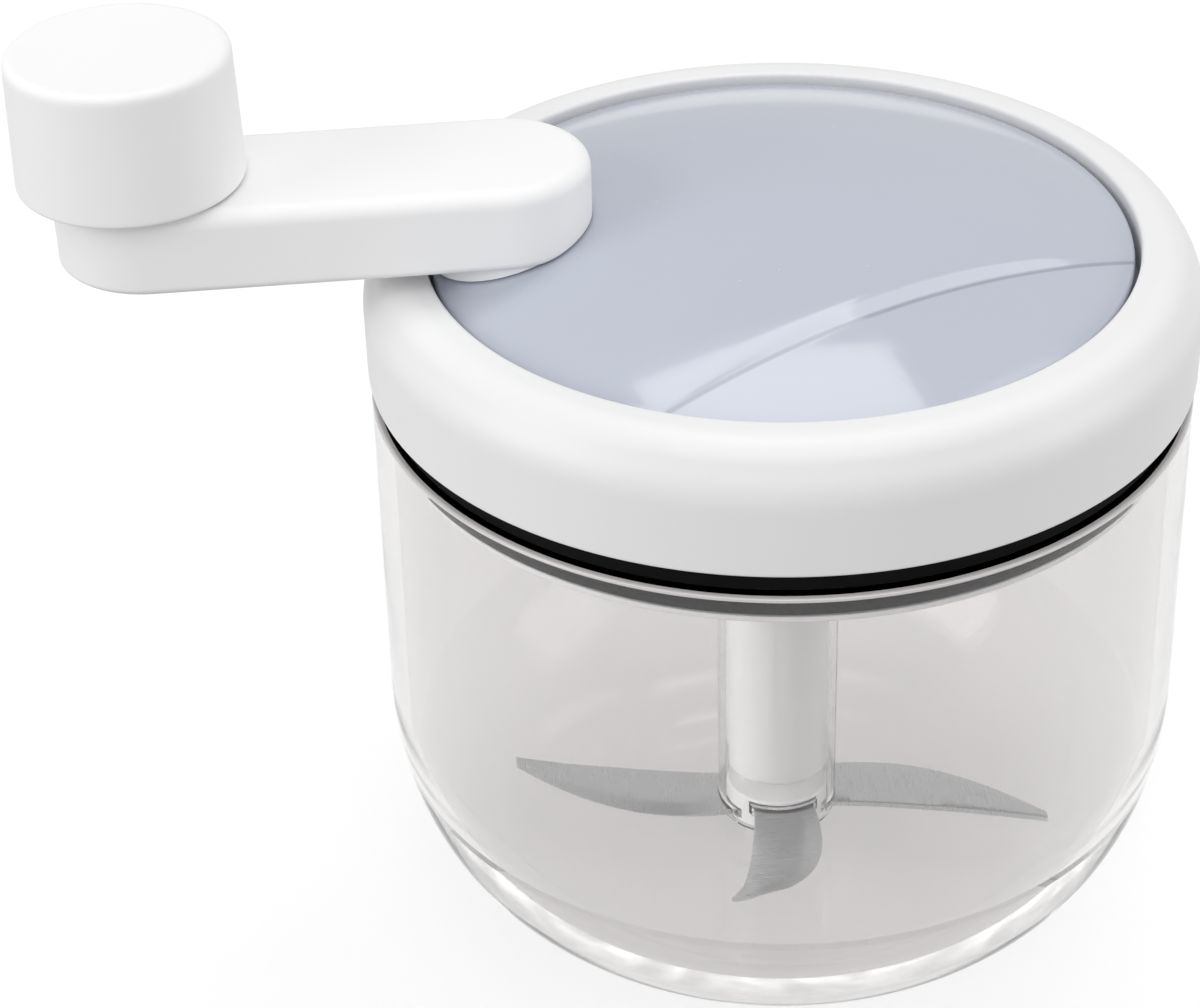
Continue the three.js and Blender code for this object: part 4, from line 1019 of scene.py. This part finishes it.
banded(fitted(bowl(), "bowl", "clear_plastic", "bowl"))
fitted(pin(), "bowl", "pin_steel", "pivot_pin")
fitted(sleeve(), "blade_unit", "clear_plastic", "blade_column", finish="clear_sleeve")
fitted(hub(), "blade_unit", "white_plastic", "blade_hub", finish="core_plastic_painted_light")
low_blade = blade("low_blade", LOW_BLADE, 31, 0, 0)
fitted(low_blade, "blade_unit", "blade_steel", "lower_blade")
high_blade = blade("high_blade", HIGH_BLADE, 34, 11, np.pi / 2)
fitted(high_blade, "blade_unit", "blade_steel", "upper_blade", finish="high_blade_steel")
fitted(seal(), "lid", "black_rubber", "seal_ring")
fitted(lid_shell(), "lid", "white_plastic", "lid_ring")
fitted(lid_floor(), "lid", "white_plastic", "lid_base")
fitted(wiper(), "lid", "black_rubber", "shaft_seal")
fitted(core(), "drive", "white_plastic", "drive_shaft", finish="core_plastic_painted_light")
fitted(disc(), "crank", "disc_plastic", "crank_disc")
fitted(arm(), "crank", "white_plastic", "crank_arm", finish="crank_plastic")
fitted(arm_plate(), "crank", "white_plastic", "arm_cover", finish="crank_plastic")
fitted(grip(), "knob", "white_plastic", "knob", finish="crank_plastic")

slot_of = {row["node"]: row["material_slot"] for row in frame["record"]["subparts"]}
for name, node in frame["nodes"].items():
    node.data.materials.clear()
    node.data.materials.append(FINISHES[slot_of[name]])


# Floor, light and camera, in metres

PAPER_LIFT = 0.66
SKY_LIGHT = 0.66
SKY_SEEN = 1.0


def floor_finish():
    """White paper: its own colour for light that lands on it, lifted to white where it is looked at."""
    finish = Finish("paper", {"Roughness": 0.9, "Specular IOR Level": 0.1})
    looked_at = sum(finish.path(f"Is {kind} Ray") for kind in ("Camera", "Glossy", "Transmission"))
    strength = PAPER_LIFT * finish.math("MINIMUM", looked_at, 1)
    lift = finish.node("ShaderNodeEmission", {}, {"Strength": strength})
    paper = finish.dress(finish.between(finish.noise(40, 3), (0.35, 0.35, 0.35), (0.37, 0.37, 0.37)))
    lit = Level(finish, finish.shader.outputs[0])
    finish.surfaced(finish.node("ShaderNodeAddShader", {}, {0: lit, 1: lift}))
    return paper


def floor():
    rows = np.array([(0, TABLE), (400, TABLE), (4000, TABLE)], float)
    piece = made("table", revolved(rows, 64))
    piece.data.materials.append(floor_finish())


def world():
    """A white room: brighter where it is looked at, directly or through clear plastic."""
    sky = bpy.data.worlds.new("studio")
    sky.use_nodes = True
    nodes, links = sky.node_tree.nodes, sky.node_tree.links
    paths = nodes.new("ShaderNodeLightPath")
    seen = nodes.new("ShaderNodeMath")
    seen.operation = "MAXIMUM"
    links.new(paths.outputs["Is Camera Ray"], seen.inputs[0])
    links.new(paths.outputs["Is Transmission Ray"], seen.inputs[1])
    strength = nodes.new("ShaderNodeMix")
    strength.inputs[2].default_value = SKY_LIGHT
    strength.inputs[3].default_value = SKY_SEEN
    links.new(seen.outputs[0], strength.inputs[0])
    back = nodes["Background"]
    back.inputs["Color"].default_value = (1, 1, 1, 1)
    links.new(strength.outputs[0], back.inputs["Strength"])
    bpy.context.scene.world = sky


def lamp(name, place, aim, width, height, radiance, turn=0):
    """A soft rectangle that faces a point, as bright as a white wall times its radiance."""
    light = bpy.data.lights.new(name, "AREA")
    light.shape = "RECTANGLE"
    light.size, light.size_y = width, height
    light.energy = radiance * width * height * np.pi
    piece = bpy.data.objects.new(name, light)
    facing = (Vector(aim) - Vector(place)).to_track_quat("-Z", "Y").to_matrix().to_4x4()
    spin = Matrix.Rotation(np.radians(turn), 4, "Z")
    piece.matrix_world = Matrix.Translation(place) @ facing @ spin
    bpy.context.scene.collection.objects.link(piece)


def camera():
    """The photograph's viewpoint, fitted to the lid, rim, bowl and arm outlines."""
    ahead = Vector((0.06531, 0.82936, -0.5549)).normalized()
    right = Vector((0.99511, -0.09554, -0.0257))
    right = (right - right.dot(ahead) * ahead).normalized()
    facing = Matrix((right, right.cross(ahead), -ahead)).transposed().to_4x4()
    data = bpy.data.cameras.new("view")
    data.sensor_width = 36
    data.lens = 92.32
    data.clip_start = 0.01
    piece = bpy.data.objects.new("view", data)
    piece.matrix_world = Matrix.Translation((-0.04285, -0.28672, 0.2409)) @ facing
    bpy.context.scene.collection.objects.link(piece)
    bpy.context.scene.camera = piece


floor()
world()
lamp("window", (0.045, 0.205, 0.785), (0.045, 0.205, 0), 0.4, 0.29, 2.85, 12)
lamp("strip", (0.386, 0.238, 0.668), (0.02, -0.015, 0.085), 0.4, 0.14, 1.5, -84)
lamp("front", (0, -0.68, 0.85), (0, 0, 0.08), 0.8, 0.5, 1.36)
lamp("left", (-0.88, -0.3, 0.38), (-0.03, 0, 0.08), 0.5, 0.6, 3.5)
lamp("right", (0.88, -0.3, 0.3), (0, 0, 0.08), 0.5, 0.6, 1.8)
camera()

bpy.context.scene.view_settings.view_transform = "Standard"
